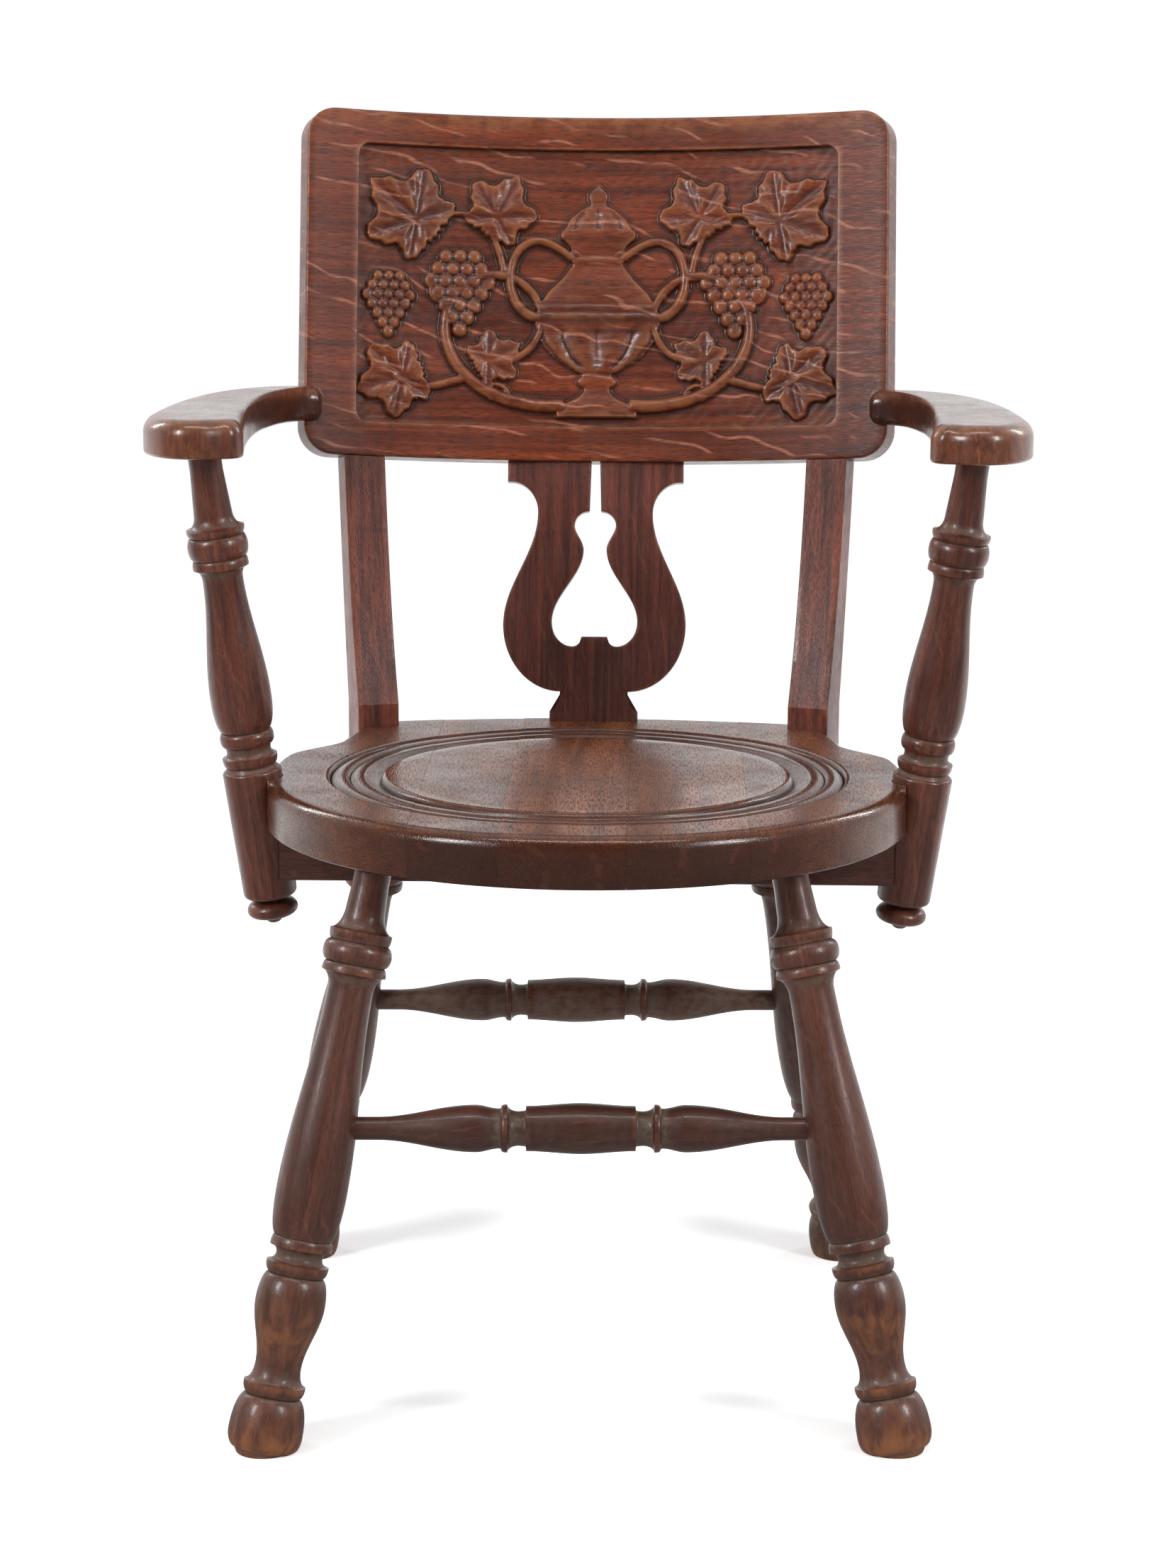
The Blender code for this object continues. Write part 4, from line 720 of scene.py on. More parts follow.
def oak(name, dark, light, colours, fleck=0.6, pore=0.7, wear=0.7, dust=0.5, gloss=0.40, coat=0.25, polish=0.0, layers=True):
    """Stained and varnished oak, read from the grain, wear and grime that a piece carries, or by its place."""
    found = bpy.data.materials.get(name)
    if found:
        return found
    material = bpy.data.materials.new(name)
    material.use_nodes = True
    tree = material.node_tree
    shader = tree.nodes["Principled BSDF"]
    place = tree.nodes.new("ShaderNodeTexCoord").outputs["Object"]
    grain = attribute_node(tree, "grain").outputs["Vector"] if layers else place
    figure = tree.nodes.new("ShaderNodeGroup")
    figure.node_tree = shader_group("oak_figure", oak_figure_group)
    use = tree.nodes.new("ShaderNodeGroup")
    use.node_tree = shader_group("oak_use", oak_use_group)
    tree.links.new(grain, figure.inputs["Grain"])
    tree.links.new(grain, use.inputs["Grain"])
    for label, value in (("Dark", dark), ("Light", light), ("Fleck", colours.fleck), ("Pore", colours.pore)):
        figure.inputs[label].default_value = (*value, 1.0)
    figure.inputs["Fleck Amount"].default_value = fleck
    figure.inputs["Pore Amount"].default_value = pore
    for label, value in (("Worn", colours.worn), ("Dust", colours.dust)):
        use.inputs[label].default_value = (*value, 1.0)
    for label, value in (("Wear Amount", wear), ("Dust Amount", dust), ("Gloss", gloss), ("Polish", polish), ("Varnish", coat)):
        use.inputs[label].default_value = value
    tree.links.new(figure.outputs["Color"], use.inputs["Color"])
    tree.links.new(figure.outputs["Pores"], use.inputs["Pores"])
    # The stored darkening: real stain, and painted shade where a piece carries it.
    tree.links.new(attribute_node(tree, "stain").outputs["Fac"], figure.inputs["Stain"])
    tree.links.new(attribute_node(tree, "wear").outputs["Fac"], use.inputs["Wear"])
    tree.links.new(attribute_node(tree, "grime").outputs["Fac"], use.inputs["Grime"])
    tree.links.new(use.outputs["Color"], shader.inputs["Base Color"])
    tree.links.new(use.outputs["Roughness"], shader.inputs["Roughness"])
    bump = tree.nodes.new("ShaderNodeBump")
    bump.inputs["Strength"].default_value = 0.25
    bump.inputs["Distance"].default_value = 0.0004
    tree.links.new(figure.outputs["Height"], bump.inputs["Height"])
    tree.links.new(bump.outputs["Normal"], shader.inputs["Normal"])
    tree.links.new(use.outputs["Coat"], shader.inputs["Coat Weight"])
    shader.inputs["Specular IOR Level"].default_value = 0.42
    shader.inputs["Coat Roughness"].default_value = 0.16
    return material


def seat_oak(colours):
    """Oak of the seat."""
    return oak("seat_oak", colours.seat_dark, colours.seat_light, colours, 0.2, 0.75, 0.05, 0.12, 0.32, 0.2, 0.4)


def leg_oak(colours):
    """Oak of the legs and stretchers."""
    return oak("leg_oak", colours.leg_dark, colours.leg_light, colours, 0.1, 0.45, 0.75, 0.55, 0.34, 0.28)


def post_oak(colours):
    """Oak of the arm posts, their drops and the rail."""
    return oak("post_oak", colours.post_dark, colours.post_light, colours, 0.1, 0.45, 0.3, 0.5, 0.30, 0.35)


def back_oak(colours):
    """Oak of the panel."""
    return oak("back_oak", colours.back_dark, colours.back_light, colours, 0.85, 0.7, 0.6, 0.35, 0.32, 0.22)


def frame_oak(colours):
    """Oak of the splat and the back posts."""
    return oak("frame_oak", colours.frame_dark, colours.frame_light, colours, 0.12, 0.65, 0.45, 0.3, 0.34, 0.2)


def arm_oak(colours):
    """Oak of the arms."""
    return oak("arm_oak", colours.arm_dark, colours.arm_light, colours, 0.2, 0.35, 0.8, 0.3, 0.28, 0.5, 0.1)


def plug_oak(colours):
    """Oak of the plugs and dowels, whose solids carry no grain of their own."""
    return oak("plug_oak", colours.post_dark, colours.post_light, colours, 0.1, 0.45, 0.3, 0.5, 0.30, 0.35, layers=False)


def screw_steel(colours):
    """Old steel with a little rust, by its place on the chair."""
    found = bpy.data.materials.get("old_steel")
    if found:
        return found
    material = bpy.data.materials.new("old_steel")
    material.use_nodes = True
    tree = material.node_tree
    shader = tree.nodes["Principled BSDF"]
    place = tree.nodes.new("ShaderNodeTexCoord").outputs["Object"]
    spots = spread(tree, stretched_noise(tree, place, (700, 700, 700), 3, 0.0), 0.45, 0.65)
    rust = blend(tree, spots, (*colours.steel, 1.0), (0.09, 0.045, 0.025, 1.0))
    tree.links.new(rust, shader.inputs["Base Color"])
    tree.links.new(spread(tree, spots, 0.0, 1.0, 0.35, 0.7), shader.inputs["Roughness"])
    tree.links.new(spread(tree, spots, 0.0, 1.0, 1.0, 0.2), shader.inputs["Metallic"])
    return material


# Places of the slanting pieces


def leg_axis(seat, legs, side, back):
    """Foot of a leg's axis on the floor and its end at the seat's underside; the whole set stands a little askew."""
    foot_x, foot_y, top_x, top_y = (
        (legs.back_foot_x, legs.back_foot_y, legs.back_top_x, legs.back_top_y)
        if back
        else (legs.front_foot_x, legs.front_foot_y, legs.front_top_x, legs.front_top_y)
    )
    cos, sin = math.cos(legs.askew), math.sin(legs.askew)
    ends = []
    for x, y, z in ((side * foot_x, foot_y, 0.0), (side * top_x, top_y, seat.height - seat.thickness)):
        ends.append(np.array([x * cos - y * sin + legs.shift, x * sin + y * cos, z]))
    return ends


def at_height(start, end, height):
    """Point of a line at a height."""
    return start + (end - start) * ((height - start[2]) / (end[2] - start[2]))


def arm_post_axis(seat, arms, side):
    """Lower end of an arm post's axis, and the point where it meets the arm's underside."""
    at_seat = np.array([side * arms.post_x, arms.post_y, seat.height])
    at_arm = np.array([side * arms.post_top_x, arms.post_top_y, arms.top - arms.thickness])
    direction = (at_arm - at_seat) / np.linalg.norm(at_arm - at_seat)
    return at_seat - direction * arms.below_seat, at_arm


def on_panel(back, along, height, depth):
    """Points of the panel by arc length along its front, height up its lean, and depth behind its front face."""
    angle = along / back.curve
    radius = back.curve + depth
    x = radius * np.sin(angle)
    y = radius * np.cos(angle) - back.curve
    cos, sin = math.cos(back.lean), math.sin(back.lean)
    z = height + 0 * x
    return np.stack([x, back.panel_y + y * cos + z * sin, back.panel_z - y * sin + z * cos], axis=-1)


def panel_front_y(back, x, z):
    """Y of the panel's front face, seen from the front at a place across and up."""
    y = np.sqrt(back.curve**2 - np.minimum(np.abs(x), 0.9 * back.curve) ** 2) - back.curve
    height = (z - back.panel_z + y * math.sin(back.lean)) / math.cos(back.lean)
    return back.panel_y + y * math.cos(back.lean) + height * math.sin(back.lean)


def back_post_place(seat, back, side):
    """Front middle of a back post's foot, and its axes across and backwards."""
    start = np.array([side * (back.panel_half - back.post_inset), back.post_y, seat.height])
    cos, sin = math.cos(back.post_turn), side * math.sin(back.post_turn)
    return start, np.array([cos, -sin, 0.0]), np.array([sin, cos, 0.0])


def back_post_reach(seat, back):
    """How far back and up from its foot a back post's middle meets the panel's lower edge."""
    start, across, behind = back_post_place(seat, back, 1)
    along = np.linspace(0, back.panel_half, 2000)
    edge = on_panel(back, along, 0.0, back.panel_thickness / 2) - start
    nearest = np.argmin(np.abs(edge @ across))
    return edge[nearest] @ behind, edge[nearest][2]


# Seat and rail


def seat_edge(angles, seat, arms, back):
    """Distance from the ring's middle to the seat's edge along each angle, and how much of the rounding is left there.

    It is the least of the outline's distance, that of a circle round an arm post, and that of a back post's corner.
    """
    shoulder = math.asin(seat.shoulder_y / seat.radius)
    front = np.linspace(-np.pi / 2, shoulder, 200)
    path = [seat.radius * np.stack([np.cos(front), np.sin(front)], axis=-1)]
    path.append(bend(path[-1][-1], (seat.waist_x, seat.waist_y), "wave", 80))
    start, across, behind = back_post_place(seat, back, 1)
    corner = (start + behind * back.post_foot / 2)[:2]
    path.append(bend(path[-1][-1], corner, "line", 30))
    share = np.linspace(1, 0, 80)
    path.append(np.stack([corner[0] * share, seat.back_y + (corner[1] - seat.back_y) * share**2], axis=-1))
    path = np.concatenate(path)
    rays = np.stack([np.abs(np.cos(angles)), np.sin(angles)], axis=-1)
    folded = np.arctan2(rays[:, 1], rays[:, 0])
    reach = np.interp(folded, np.arctan2(path[:, 1], path[:, 0]), np.linalg.norm(path, axis=1))
    rounding = seat.front_round + (seat.back_round - seat.front_round) * ease(reach * rays[:, 1], 0, seat.shoulder_y)
    post = np.array([arms.post_x, arms.post_y])
    radius = max(end for shape, run, end in POST_LOWER_TURNING[:2]) / 2 + 2 * GAP
    middle = rays @ post
    inside = middle**2 - post @ post + radius**2
    notch = np.where(inside > 0, middle - np.sqrt(np.maximum(inside, 0)), np.inf)
    towards_back = np.maximum(rays @ behind[:2], 1e-6)
    towards_side = rays @ across[:2]
    to_front = (start[:2] @ behind[:2] - GAP) / towards_back
    offset = start[:2] @ across[:2] - back.post_width / 2 - GAP
    past_side = np.where(towards_side > 0, offset / np.maximum(towards_side, 1e-6), np.inf)
    rabbet = np.where(folded > 0, np.maximum(to_front, past_side), np.inf)
    cut = np.minimum(notch, rabbet)
    return np.minimum(reach, cut), np.where(cut < reach, 0.0006, rounding)


def seat_grid(seat, arms, back, board):
    """One board's share of the seat: its whole surface by angle and by a section from the top's middle to the bottom's.

    The section follows the turned mouldings, the flat rim, the rounded edge, the side and the underside.
    """
    angles = np.linspace(0, 2 * np.pi, 900, endpoint=False)
    edge, rounding = seat_edge(angles, seat, arms, back)
    places, heights = shaped(0.0, SEAT_MOULDING, 0.0007)
    inner = np.linspace(0, DISC_RADIUS, 16)[:-1]
    flat_end = DISC_RADIUS + places[-1] + 0.0004
    radii = np.concatenate([inner, DISC_RADIUS + places])
    depths = np.concatenate([np.zeros(len(inner)), heights])
    spots = high_spots(radii, depths, 0.0035, 0.0012)
    ones = np.ones(len(angles))
    reach = [radii[:, None] * ones]
    level = [depths[:, None] * ones]
    wear = [np.clip(spots, 0, 1)[:, None] * ones]
    grime = [np.clip(-spots, 0, 1)[:, None] * ones]
    share = np.linspace(0, 1, 14)[:, None]
    rim = edge - rounding
    arc = np.linspace(0, np.pi / 2, 10)[1:, None]
    lower_arc = np.linspace(0, np.pi / 2, 5)[1:, None]
    side = np.linspace(0, 1, 8)[1:, None]
    lower = seat.lower_round
    sections = (
        (flat_end + (rim - flat_end) * share, 0 * share * ones, 0.10 * share**6 * ones),
        (rim + rounding * np.sin(arc), -rounding * (1 - np.cos(arc)), 0.5 * np.sin(2 * arc) * ones),
        (edge + 0 * side, -rounding - (seat.thickness - rounding - lower) * side, 0.05 + 0 * side * ones),
        (edge - lower * (1 - np.cos(lower_arc)), -seat.thickness + lower * (1 - np.sin(lower_arc)), 0.3 + 0 * lower_arc * ones),
        ((edge - lower) * (1 - side), -seat.thickness + 0 * side * ones, 0 * side * ones),
    )
    for section_reach, section_level, section_wear in sections:
        shape = np.broadcast_shapes(section_reach.shape, section_level.shape, section_wear.shape)
        reach.append(np.broadcast_to(section_reach, shape))
        level.append(np.broadcast_to(section_level, shape))
        wear.append(np.broadcast_to(section_wear, shape))
        grime.append(np.zeros(shape))
    reach, level = np.concatenate(reach), np.concatenate(level)
    x, y = reach * np.cos(angles), reach * np.sin(angles)
    lift = SEAT_BOARD_LIFTS[board] * ease(level, -0.03, 0.0)
    dished = -0.0005 * np.exp(-((x / 0.11) ** 2) - (((y - 0.02) / 0.10) ** 2)) * ease(level, -0.03, 0.0)
    points = np.stack([x, y, seat.height + level + lift + dished], axis=-1)
    grain = np.stack([x, level, y], axis=-1) * SEAT_GRAIN + grain_offset(board + 1)
    wear, grime = np.concatenate(wear), np.concatenate(grime)
    # Painted shade: the side, the rounded edge and the rim's outer part are darkened, less towards the left and right,
    # and so is the ring of mouldings. The grooves are darker still, and each board adds its own stain.
    darker_front = 0.90 - 0.45 * ease(np.abs(x), 0.09, 0.20)
    painted_edge_shade = np.maximum(darker_front * ease(-level, 0.0, 0.006), 0.5 * ease(reach - edge, -0.022, -0.008))
    painted_edge_shade *= reach > flat_end
    painted_ring_shade = 0.6 * ease(reach, DISC_RADIUS, DISC_RADIUS + 0.003) * ease(-reach, -flat_end, 0.003 - flat_end)
    stain = np.maximum(np.maximum(painted_edge_shade, np.maximum(grime, painted_ring_shade)), SEAT_BOARD_STAINS[board])
    return Grid(points, grain, wear, grime, stain)


def loft(points, grain, wear, stain=0.0):
    """A stack of closed sections as a grid with drawn-in ends."""
    wear = np.concatenate([wear[:1], wear, wear[-1:]])
    return Grid(with_ends(points), with_ends(grain), wear, np.zeros(wear.shape), stain)


def rail_grid(seat, arms):
    """The rail: a rounded rectangle carried along X."""
    foot, top = arm_post_axis(seat, arms, 1)
    under = seat.height - seat.thickness
    middle = at_height(foot, top, under - seat.rail_depth / 2)[1]
    half = seat.rail_width / 2
    loop, edges = rounded_loop((middle - half, under - seat.rail_depth), (middle + half, under - GAP), 0.0015, 6)
    places = np.linspace(-seat.rail_half, seat.rail_half, 60)
    x = np.repeat(places[:, None], len(loop), axis=1)
    y = np.repeat(loop[None, :, 0], len(places), axis=0)
    z = np.repeat(loop[None, :, 1], len(places), axis=0)
    points = np.stack([x, y, z], axis=-1)
    grain = np.stack([y, z, x], axis=-1) + grain_offset(31)
    # Painted shade: the whole rail is darkened, as it sits under the seat.
    return loft(points, grain, np.repeat(0.3 * edges[None, :], len(places), axis=0), 0.4)


# Legs, stretchers, arm posts and drops


def leg_grid(seat, legs, side, back, number):
    """A leg: its turned outline round its axis; the long taper takes up what the length leaves."""
    foot, top = leg_axis(seat, legs, side, back)
    axes, run = axes_along(foot, top)
    taper = run - run_length(LEG_LOWER_TURNING) - run_length(LEG_UPPER_TURNING) - 2 * LEG_NECK_LENGTH
    rows = [("line", FOOT_ALLOWANCE, FOOT_DIAMETER), *LEG_LOWER_TURNING, ("wave", taper, LEG_NECK_DIAMETER)]
    rows += [*LEG_UPPER_TURNING, ("line", LEG_NECK_LENGTH, LEG_TOP_DIAMETER)]
    rows += [("line", LEG_NECK_LENGTH + LEG_TENON, LEG_TOP_DIAMETER)]
    places, diameters = shaped(FOOT_END_DIAMETER, rows)
    above = places - FOOT_ALLOWANCE
    rubbed = 0.9 * np.exp(-above / 0.026) + 0.55 * np.exp(-(((above - 0.085) / 0.030) ** 2))
    return turned_grid(places, diameters / 2, foot - FOOT_ALLOWANCE * axes[2], top, number, rubbed, 0.0, 0.45 if back else 0.15)


def rung_grid(seat, legs, back, number):
    """A stretcher: one half's turned outline, mirrored at its drum's middle, round the line between two legs."""
    height = legs.back_rung if back else legs.front_rung
    left, right = (at_height(*leg_axis(seat, legs, side, back), height) for side in (-1, 1))
    middle = (left + right) / 2
    half = np.linalg.norm(right - left) / 2
    taper = half - RUNG_STOP - run_length(RUNG_TURNING) - RUNG_END_LENGTH
    rows = [*RUNG_TURNING, ("wave", taper, RUNG_END_DIAMETER), ("line", RUNG_END_LENGTH, RUNG_END_DIAMETER)]
    places, diameters = shaped(RUNG_DRUM_DIAMETER, rows)
    places = np.concatenate([-places[:0:-1], places])
    diameters = np.concatenate([diameters[:0:-1], diameters])
    return turned_grid(places, diameters / 2, middle, right, number, 0.0, 0.1 if back else 0.3, 0.7 if back else 0.25)


def arm_post_grid(seat, arms, side, number):
    """An arm post: its turned outline round its axis; the long taper takes up what the length leaves."""
    foot, top = arm_post_axis(seat, arms, side)
    run = np.linalg.norm(top - foot)
    taper = run - run_length(POST_LOWER_TURNING) - run_length(POST_UPPER_TURNING) - POST_NECK_LENGTH
    rows = [*POST_LOWER_TURNING, ("wave", taper - POST_TENON * 4, POST_NECK_DIAMETER), *POST_UPPER_TURNING]
    rows += [("line", POST_NECK_LENGTH, POST_TOP_DIAMETER), ("line", POST_TENON * 5, POST_TOP_DIAMETER)]
    places, diameters = shaped(POST_BOTTOM_DIAMETER, rows)
    return turned_grid(places, diameters / 2, foot, top, number)


def drop_grid(seat, arms, side, number):
    """A drop finial: its turned outline round the post's axis, downwards from the post's lower end."""
    foot, top = arm_post_axis(seat, arms, side)
    places, diameters = shaped(DROP_NECK_DIAMETER, DROP_TURNING, 0.001)
    return turned_grid(places, diameters / 2, foot, 2 * foot - top, number, 0.0, 0.0, 0.9)


# Arms


def arm_grid(seat, arms, back, side, number):
    """An arm: a section with rounded edges carried round its outline, from a line along its middle and back to it."""
    end_x = back.curve * math.sin(back.panel_half / back.curve)
    tail_x = end_x - arms.tail_lap
    tail_y = float(panel_front_y(back, tail_x, arms.top))
    inner_y = arms.front_y + arms.front_bow
    inner_start = (arms.inner_x, inner_y + arms.inner_corner)
    front = [np.array([inner_start])]
    front.append(bend(inner_start, (arms.inner_x + arms.inner_corner, inner_y - arms.front_bow / 3), "upright", 10))
    corner = (arms.outer_x - arms.outer_corner, arms.front_y)
    front.append(cubic(front[-1][-1], front[-1][-1] + (0.010, -0.003), (corner[0] - 0.012, corner[1]), corner, 14)[1:])
    front.append(bend(corner, (arms.outer_x, arms.sweep_y), "level", 30))
    front = np.concatenate(front)
    count = 90
    reach = tail_y - arms.sweep_y
    sweep_end = (end_x, tail_y + arms.tail_depth / 4)
    outer = cubic(
        (arms.outer_x, arms.sweep_y),
        (arms.outer_x, arms.sweep_y + 0.62 * reach),
        (end_x + 0.75 * (arms.outer_x - end_x), sweep_end[1]),
        sweep_end,
        count,
    )
    inner_tail = (tail_x + arms.inner_corner / 3, tail_y - arms.tail_depth + arms.inner_corner / 4)
    inner = cubic(
        inner_tail,
        (inner_tail[0] + 0.044, inner_tail[1] - 0.014),
        (inner_start[0] + arms.waist, inner_start[1] + 0.5 * (inner_tail[1] - inner_start[1])),
        inner_start,
        count,
    )
    tail = np.concatenate(
        [
            bend(sweep_end, (end_x, tail_y + back.panel_thickness), "line", 4),
            bend((end_x, tail_y + back.panel_thickness), (tail_x, tail_y + back.panel_thickness), "line", 6),
            bend((tail_x, tail_y + back.panel_thickness), (tail_x, inner_tail[1] + arms.inner_corner), "line", 8),
            bend((tail_x, inner_tail[1] + arms.inner_corner), inner_tail, "upright", 6)[:-1],
        ]
    )
    spine = (outer + inner[::-1]) / 2
    spine[:, 0] = np.maximum(spine[:, 0], tail_x + 1.5 * arms.tail_round)
    edge = np.concatenate([front[:-1], outer, tail, inner[:-1]])
    line = np.concatenate(
        [np.repeat(spine[:1], len(front) - 1, axis=0), spine, np.repeat(spine[-1:], len(tail), axis=0), spine[:0:-1]]
    )
    along = np.arange(count - 1.0)
    at_ends = np.maximum(ease(-along, -12, 0), ease(along, count - 22, count - 2))
    top_round = np.concatenate(
        [
            np.full(len(front) - 1 + count + len(tail), arms.top_round),
            arms.inner_round + (arms.top_round - arms.inner_round) * at_ends,
        ]
    )
    away = edge - line
    distance = np.maximum(np.linalg.norm(away, axis=1), 1e-6)
    top_round = np.minimum(top_round, 0.8 * distance)
    near_tail = np.concatenate(
        [
            np.zeros(len(front) - 1),
            ease(np.arange(count), 0.6 * count, count - 1),
            np.ones(len(tail)),
            ease(-np.arange(count - 1.0), -0.4 * count, 0),
        ]
    )
    lower_round = np.minimum(arms.lower_round + (arms.tail_round - arms.lower_round) * near_tail, 0.8 * distance)
    arc = np.linspace(0, np.pi / 2, 10)[1:, None]
    lower_arc = np.linspace(0, np.pi / 2, 7)[1:, None]
    flat = np.linspace(0, 1, 12)[:, None]
    side_share = np.linspace(0, 1, 6)[1:, None]
    ones = np.ones(len(edge))
    sections = (
        ((distance - top_round) * flat, 0 * flat * ones, 0.12 * flat**4 * ones),
        (distance - top_round * (1 - np.sin(arc)), -top_round * (1 - np.cos(arc)), 0.62 * np.sin(2 * arc) * ones),
        (
            distance + 0 * side_share,
            -top_round - (arms.thickness - top_round - lower_round) * side_share,
            0.08 + 0 * side_share * ones,
        ),
        (
            distance - lower_round * (1 - np.cos(lower_arc)),
            -arms.thickness + lower_round * (1 - np.sin(lower_arc)),
            0.55 * np.sin(2 * lower_arc) * ones,
        ),
        ((distance - lower_round) * (1 - flat[1:]), -arms.thickness + 0 * flat[1:] * ones, 0 * flat[1:] * ones),
    )
    out = np.concatenate([np.broadcast_to(section[0], (len(section[2]), len(edge))) for section in sections])
    down = np.concatenate([np.broadcast_to(section[1], (len(section[2]), len(edge))) for section in sections])
    wear = np.concatenate([np.broadcast_to(section[2], (len(section[2]), len(edge))) for section in sections])
    x = line[:, 0] + away[:, 0] / distance * out
    y = line[:, 1] + away[:, 1] / distance * out
    under = arms.top - arms.thickness
    rise = math.tan(arms.rise)
    z = arms.top + down - (y - arms.post_top_y) * rise
    y = np.minimum(y, panel_front_y(back, x, z) - GAP)
    wear = wear * (0.55 + 0.45 * ease(-y, 0.04, 0.10))
    points = np.stack([side * x, y, z], axis=-1)
    grain = np.stack([side * x, z - under, y], axis=-1) + grain_offset(number)
    # Painted shade: the arm's sides and underside are darkened, more towards the tail at the panel.
    stain = 0.7 * ease(-down, 0.002, arms.top_round) * ease(y, arms.front_y, tail_y)
    return Grid(points, grain, wear * (1 - 0.8 * near_tail), np.zeros(wear.shape), stain)


# Back posts, splat and panel


def back_post_grid(seat, back, side, number):
    """A back post: a rounded rectangle carried up its sweep, with a straight heel and a depth that tapers."""
    start, across, behind = back_post_place(seat, back, side)
    reach, rise = back_post_reach(seat, back)
    handle = (rise - back.post_heel) / 3
    lower, upper = math.tan(back.post_lower_lean), math.tan(back.post_upper_lean)
    share = np.linspace(0, 1, 70)
    edges = []
    for foot, head, lean in ((0.0, reach - back.post_head / 2, lower), (back.post_foot, reach + back.post_head / 2, lower / 2)):
        curve = cubic((foot, 0), (foot + handle * lean, 0), (head - handle * upper, 0), (head, 0), len(share))[:, 0]
        beyond = head + upper * np.array([0.01, 0.02, 0.03])
        edges.append(np.concatenate([np.full(8, foot), curve, beyond]))
    heights = np.concatenate(
        [
            np.linspace(-seat.thickness, back.post_heel, 9)[:-1],
            back.post_heel + (rise - back.post_heel) * share,
            rise + np.array([0.01, 0.02, 0.03]),
        ]
    )
    loop, corner = rounded_loop((-0.5, 0.0), (0.5, 1.0), 0.035, 6)
    depth = edges[0][:, None] + (edges[1] - edges[0])[:, None] * loop[None, :, 1]
    width = back.post_width * np.repeat(loop[None, :, 0], len(heights), axis=0)
    up = np.repeat(heights[:, None], len(loop), axis=1)
    points = start + width[..., None] * across + depth[..., None] * behind + up[..., None] * np.array([0, 0, 1.0])
    grain = np.stack([width, depth, up], axis=-1) + grain_offset(number)
    # The corners carry rubbed wear; the lighter line along the heel's crease is a painted highlight.
    crease = np.exp(-(((heights - back.post_heel) / 0.0012) ** 2))[:, None]
    wear = np.repeat(0.5 * corner[None, :], len(heights), axis=0) + 0.35 * crease
    return loft(points, grain, wear)


def splat_edges(height, back):
    """The outside and the inside edge of the lyre's right half, from the panel to the foot, with matching points."""
    end = 0.004

    def walk(start, rows):
        pieces, place = [], np.array(start)
        for way, x, z in rows:
            stretch = bend(place, (x, height + z if z < 0 else z), way, 24)
            pieces.append(np.concatenate([place[None], stretch]))
            place = stretch[-1]
        return pieces

    outer = walk((back.splat_top_x, height + end), SPLAT_OUTSIDE)
    inner = walk((back.slit_top_x, height + end), SPLAT_INSIDE)
    foot, key = outer[-1][-1], inner[-1][-1]
    middle = np.array([0.0, key[1]])
    pairs = (
        (outer[0:3], inner[0:2], 48),
        (outer[3:4], inner[2:4], 72),
        (outer[4:5], inner[4:5], 48),
        (outer[5:6], [*inner[5:6], np.array([key, middle])], 32),
        ([np.array([foot, (foot[0], -end), (0.0, -end)])], [np.array([middle, middle])], 28),
    )
    outside = [resample(np.concatenate(first), count) for first, second, count in pairs]
    inside = [resample(np.concatenate(second), count) for first, second, count in pairs]
    return np.concatenate(outside), np.concatenate(inside)


def splat_grid(seat, back, side):
    """Half of the lyre: a section with rounded arrises, carried down between its inner and its outer edge."""
    low = np.array([0, back.splat_y, seat.height])
    high = on_panel(back, np.zeros(1), 0.0, back.splat_setback)[0]
    height = np.linalg.norm(high - low)
    up = (high - low) / height
    behind = np.array([0, up[2], -up[1]])
    outside, inside = splat_edges(height, back)
    arris, thick = 0.0011, back.splat_thickness
    arc = np.linspace(0, np.pi / 2, 4)
    sine, cosine = arris * (1 - np.sin(arc)), arris * (1 - np.cos(arc))
    across = np.linspace(0, 1, 11)[1:-1]
    none = np.zeros(len(across))
    share = np.concatenate([0 * arc, across, 0 * arc + 1, 0 * arc + 1, across[::-1], 0 * arc])
    inset = np.concatenate([cosine, none, -sine, -cosine, none, sine])
    depth = np.concatenate([sine, none, cosine, thick - sine, thick + none, thick - cosine])
    corner = np.concatenate([0 * arc + 1, none, 0 * arc + 1, 0 * arc + 1, none, 0 * arc + 1])
    run = outside - inside
    towards = run / np.maximum(np.linalg.norm(run, axis=1), 1e-6)[:, None]
    flat = inside[:, None] + run[:, None] * share[None, :, None] + towards[:, None] * inset[None, :, None]
    x, z = side * flat[..., 0], flat[..., 1]
    y = np.repeat(depth[None, :], len(run), axis=0)
    points = low + x[..., None] * np.array([1.0, 0, 0]) + y[..., None] * behind + z[..., None] * up
    grain = np.stack([x, y, z], axis=-1) + grain_offset(21)
    wear = np.repeat(0.55 * corner[None, :], len(run), axis=0)
    points, grain = with_ends(points)[:-1], with_ends(grain)[:-1]
    wear = np.concatenate([wear[:1], wear])
    return Grid(points, grain, wear, np.zeros(wear.shape), 0.25)


def rounded_outline(half, low, high, corner):
    """A rectangle with rounded corners, with as many points whatever its size."""
    quarter = np.linspace(0, np.pi / 2, 14)
    pieces = []
    corners = ((half, low, -0.5), (half, high, 0.0), (-half, high, 0.5), (-half, low, 1.0))
    for x, y, start in corners:
        middle = (x - math.copysign(corner, x), y + (corner if y == low else -corner))
        angles = quarter + start * np.pi
        pieces.append(np.stack([middle[0] + corner * np.cos(angles), middle[1] + corner * np.sin(angles)], axis=-1))
    path = []
    for number, piece in enumerate(pieces):
        after = pieces[(number + 1) % 4]
        path += [piece, np.linspace(piece[-1], after[0], 52 if number % 2 == 0 else 92)[1:-1]]
    return np.concatenate(path)


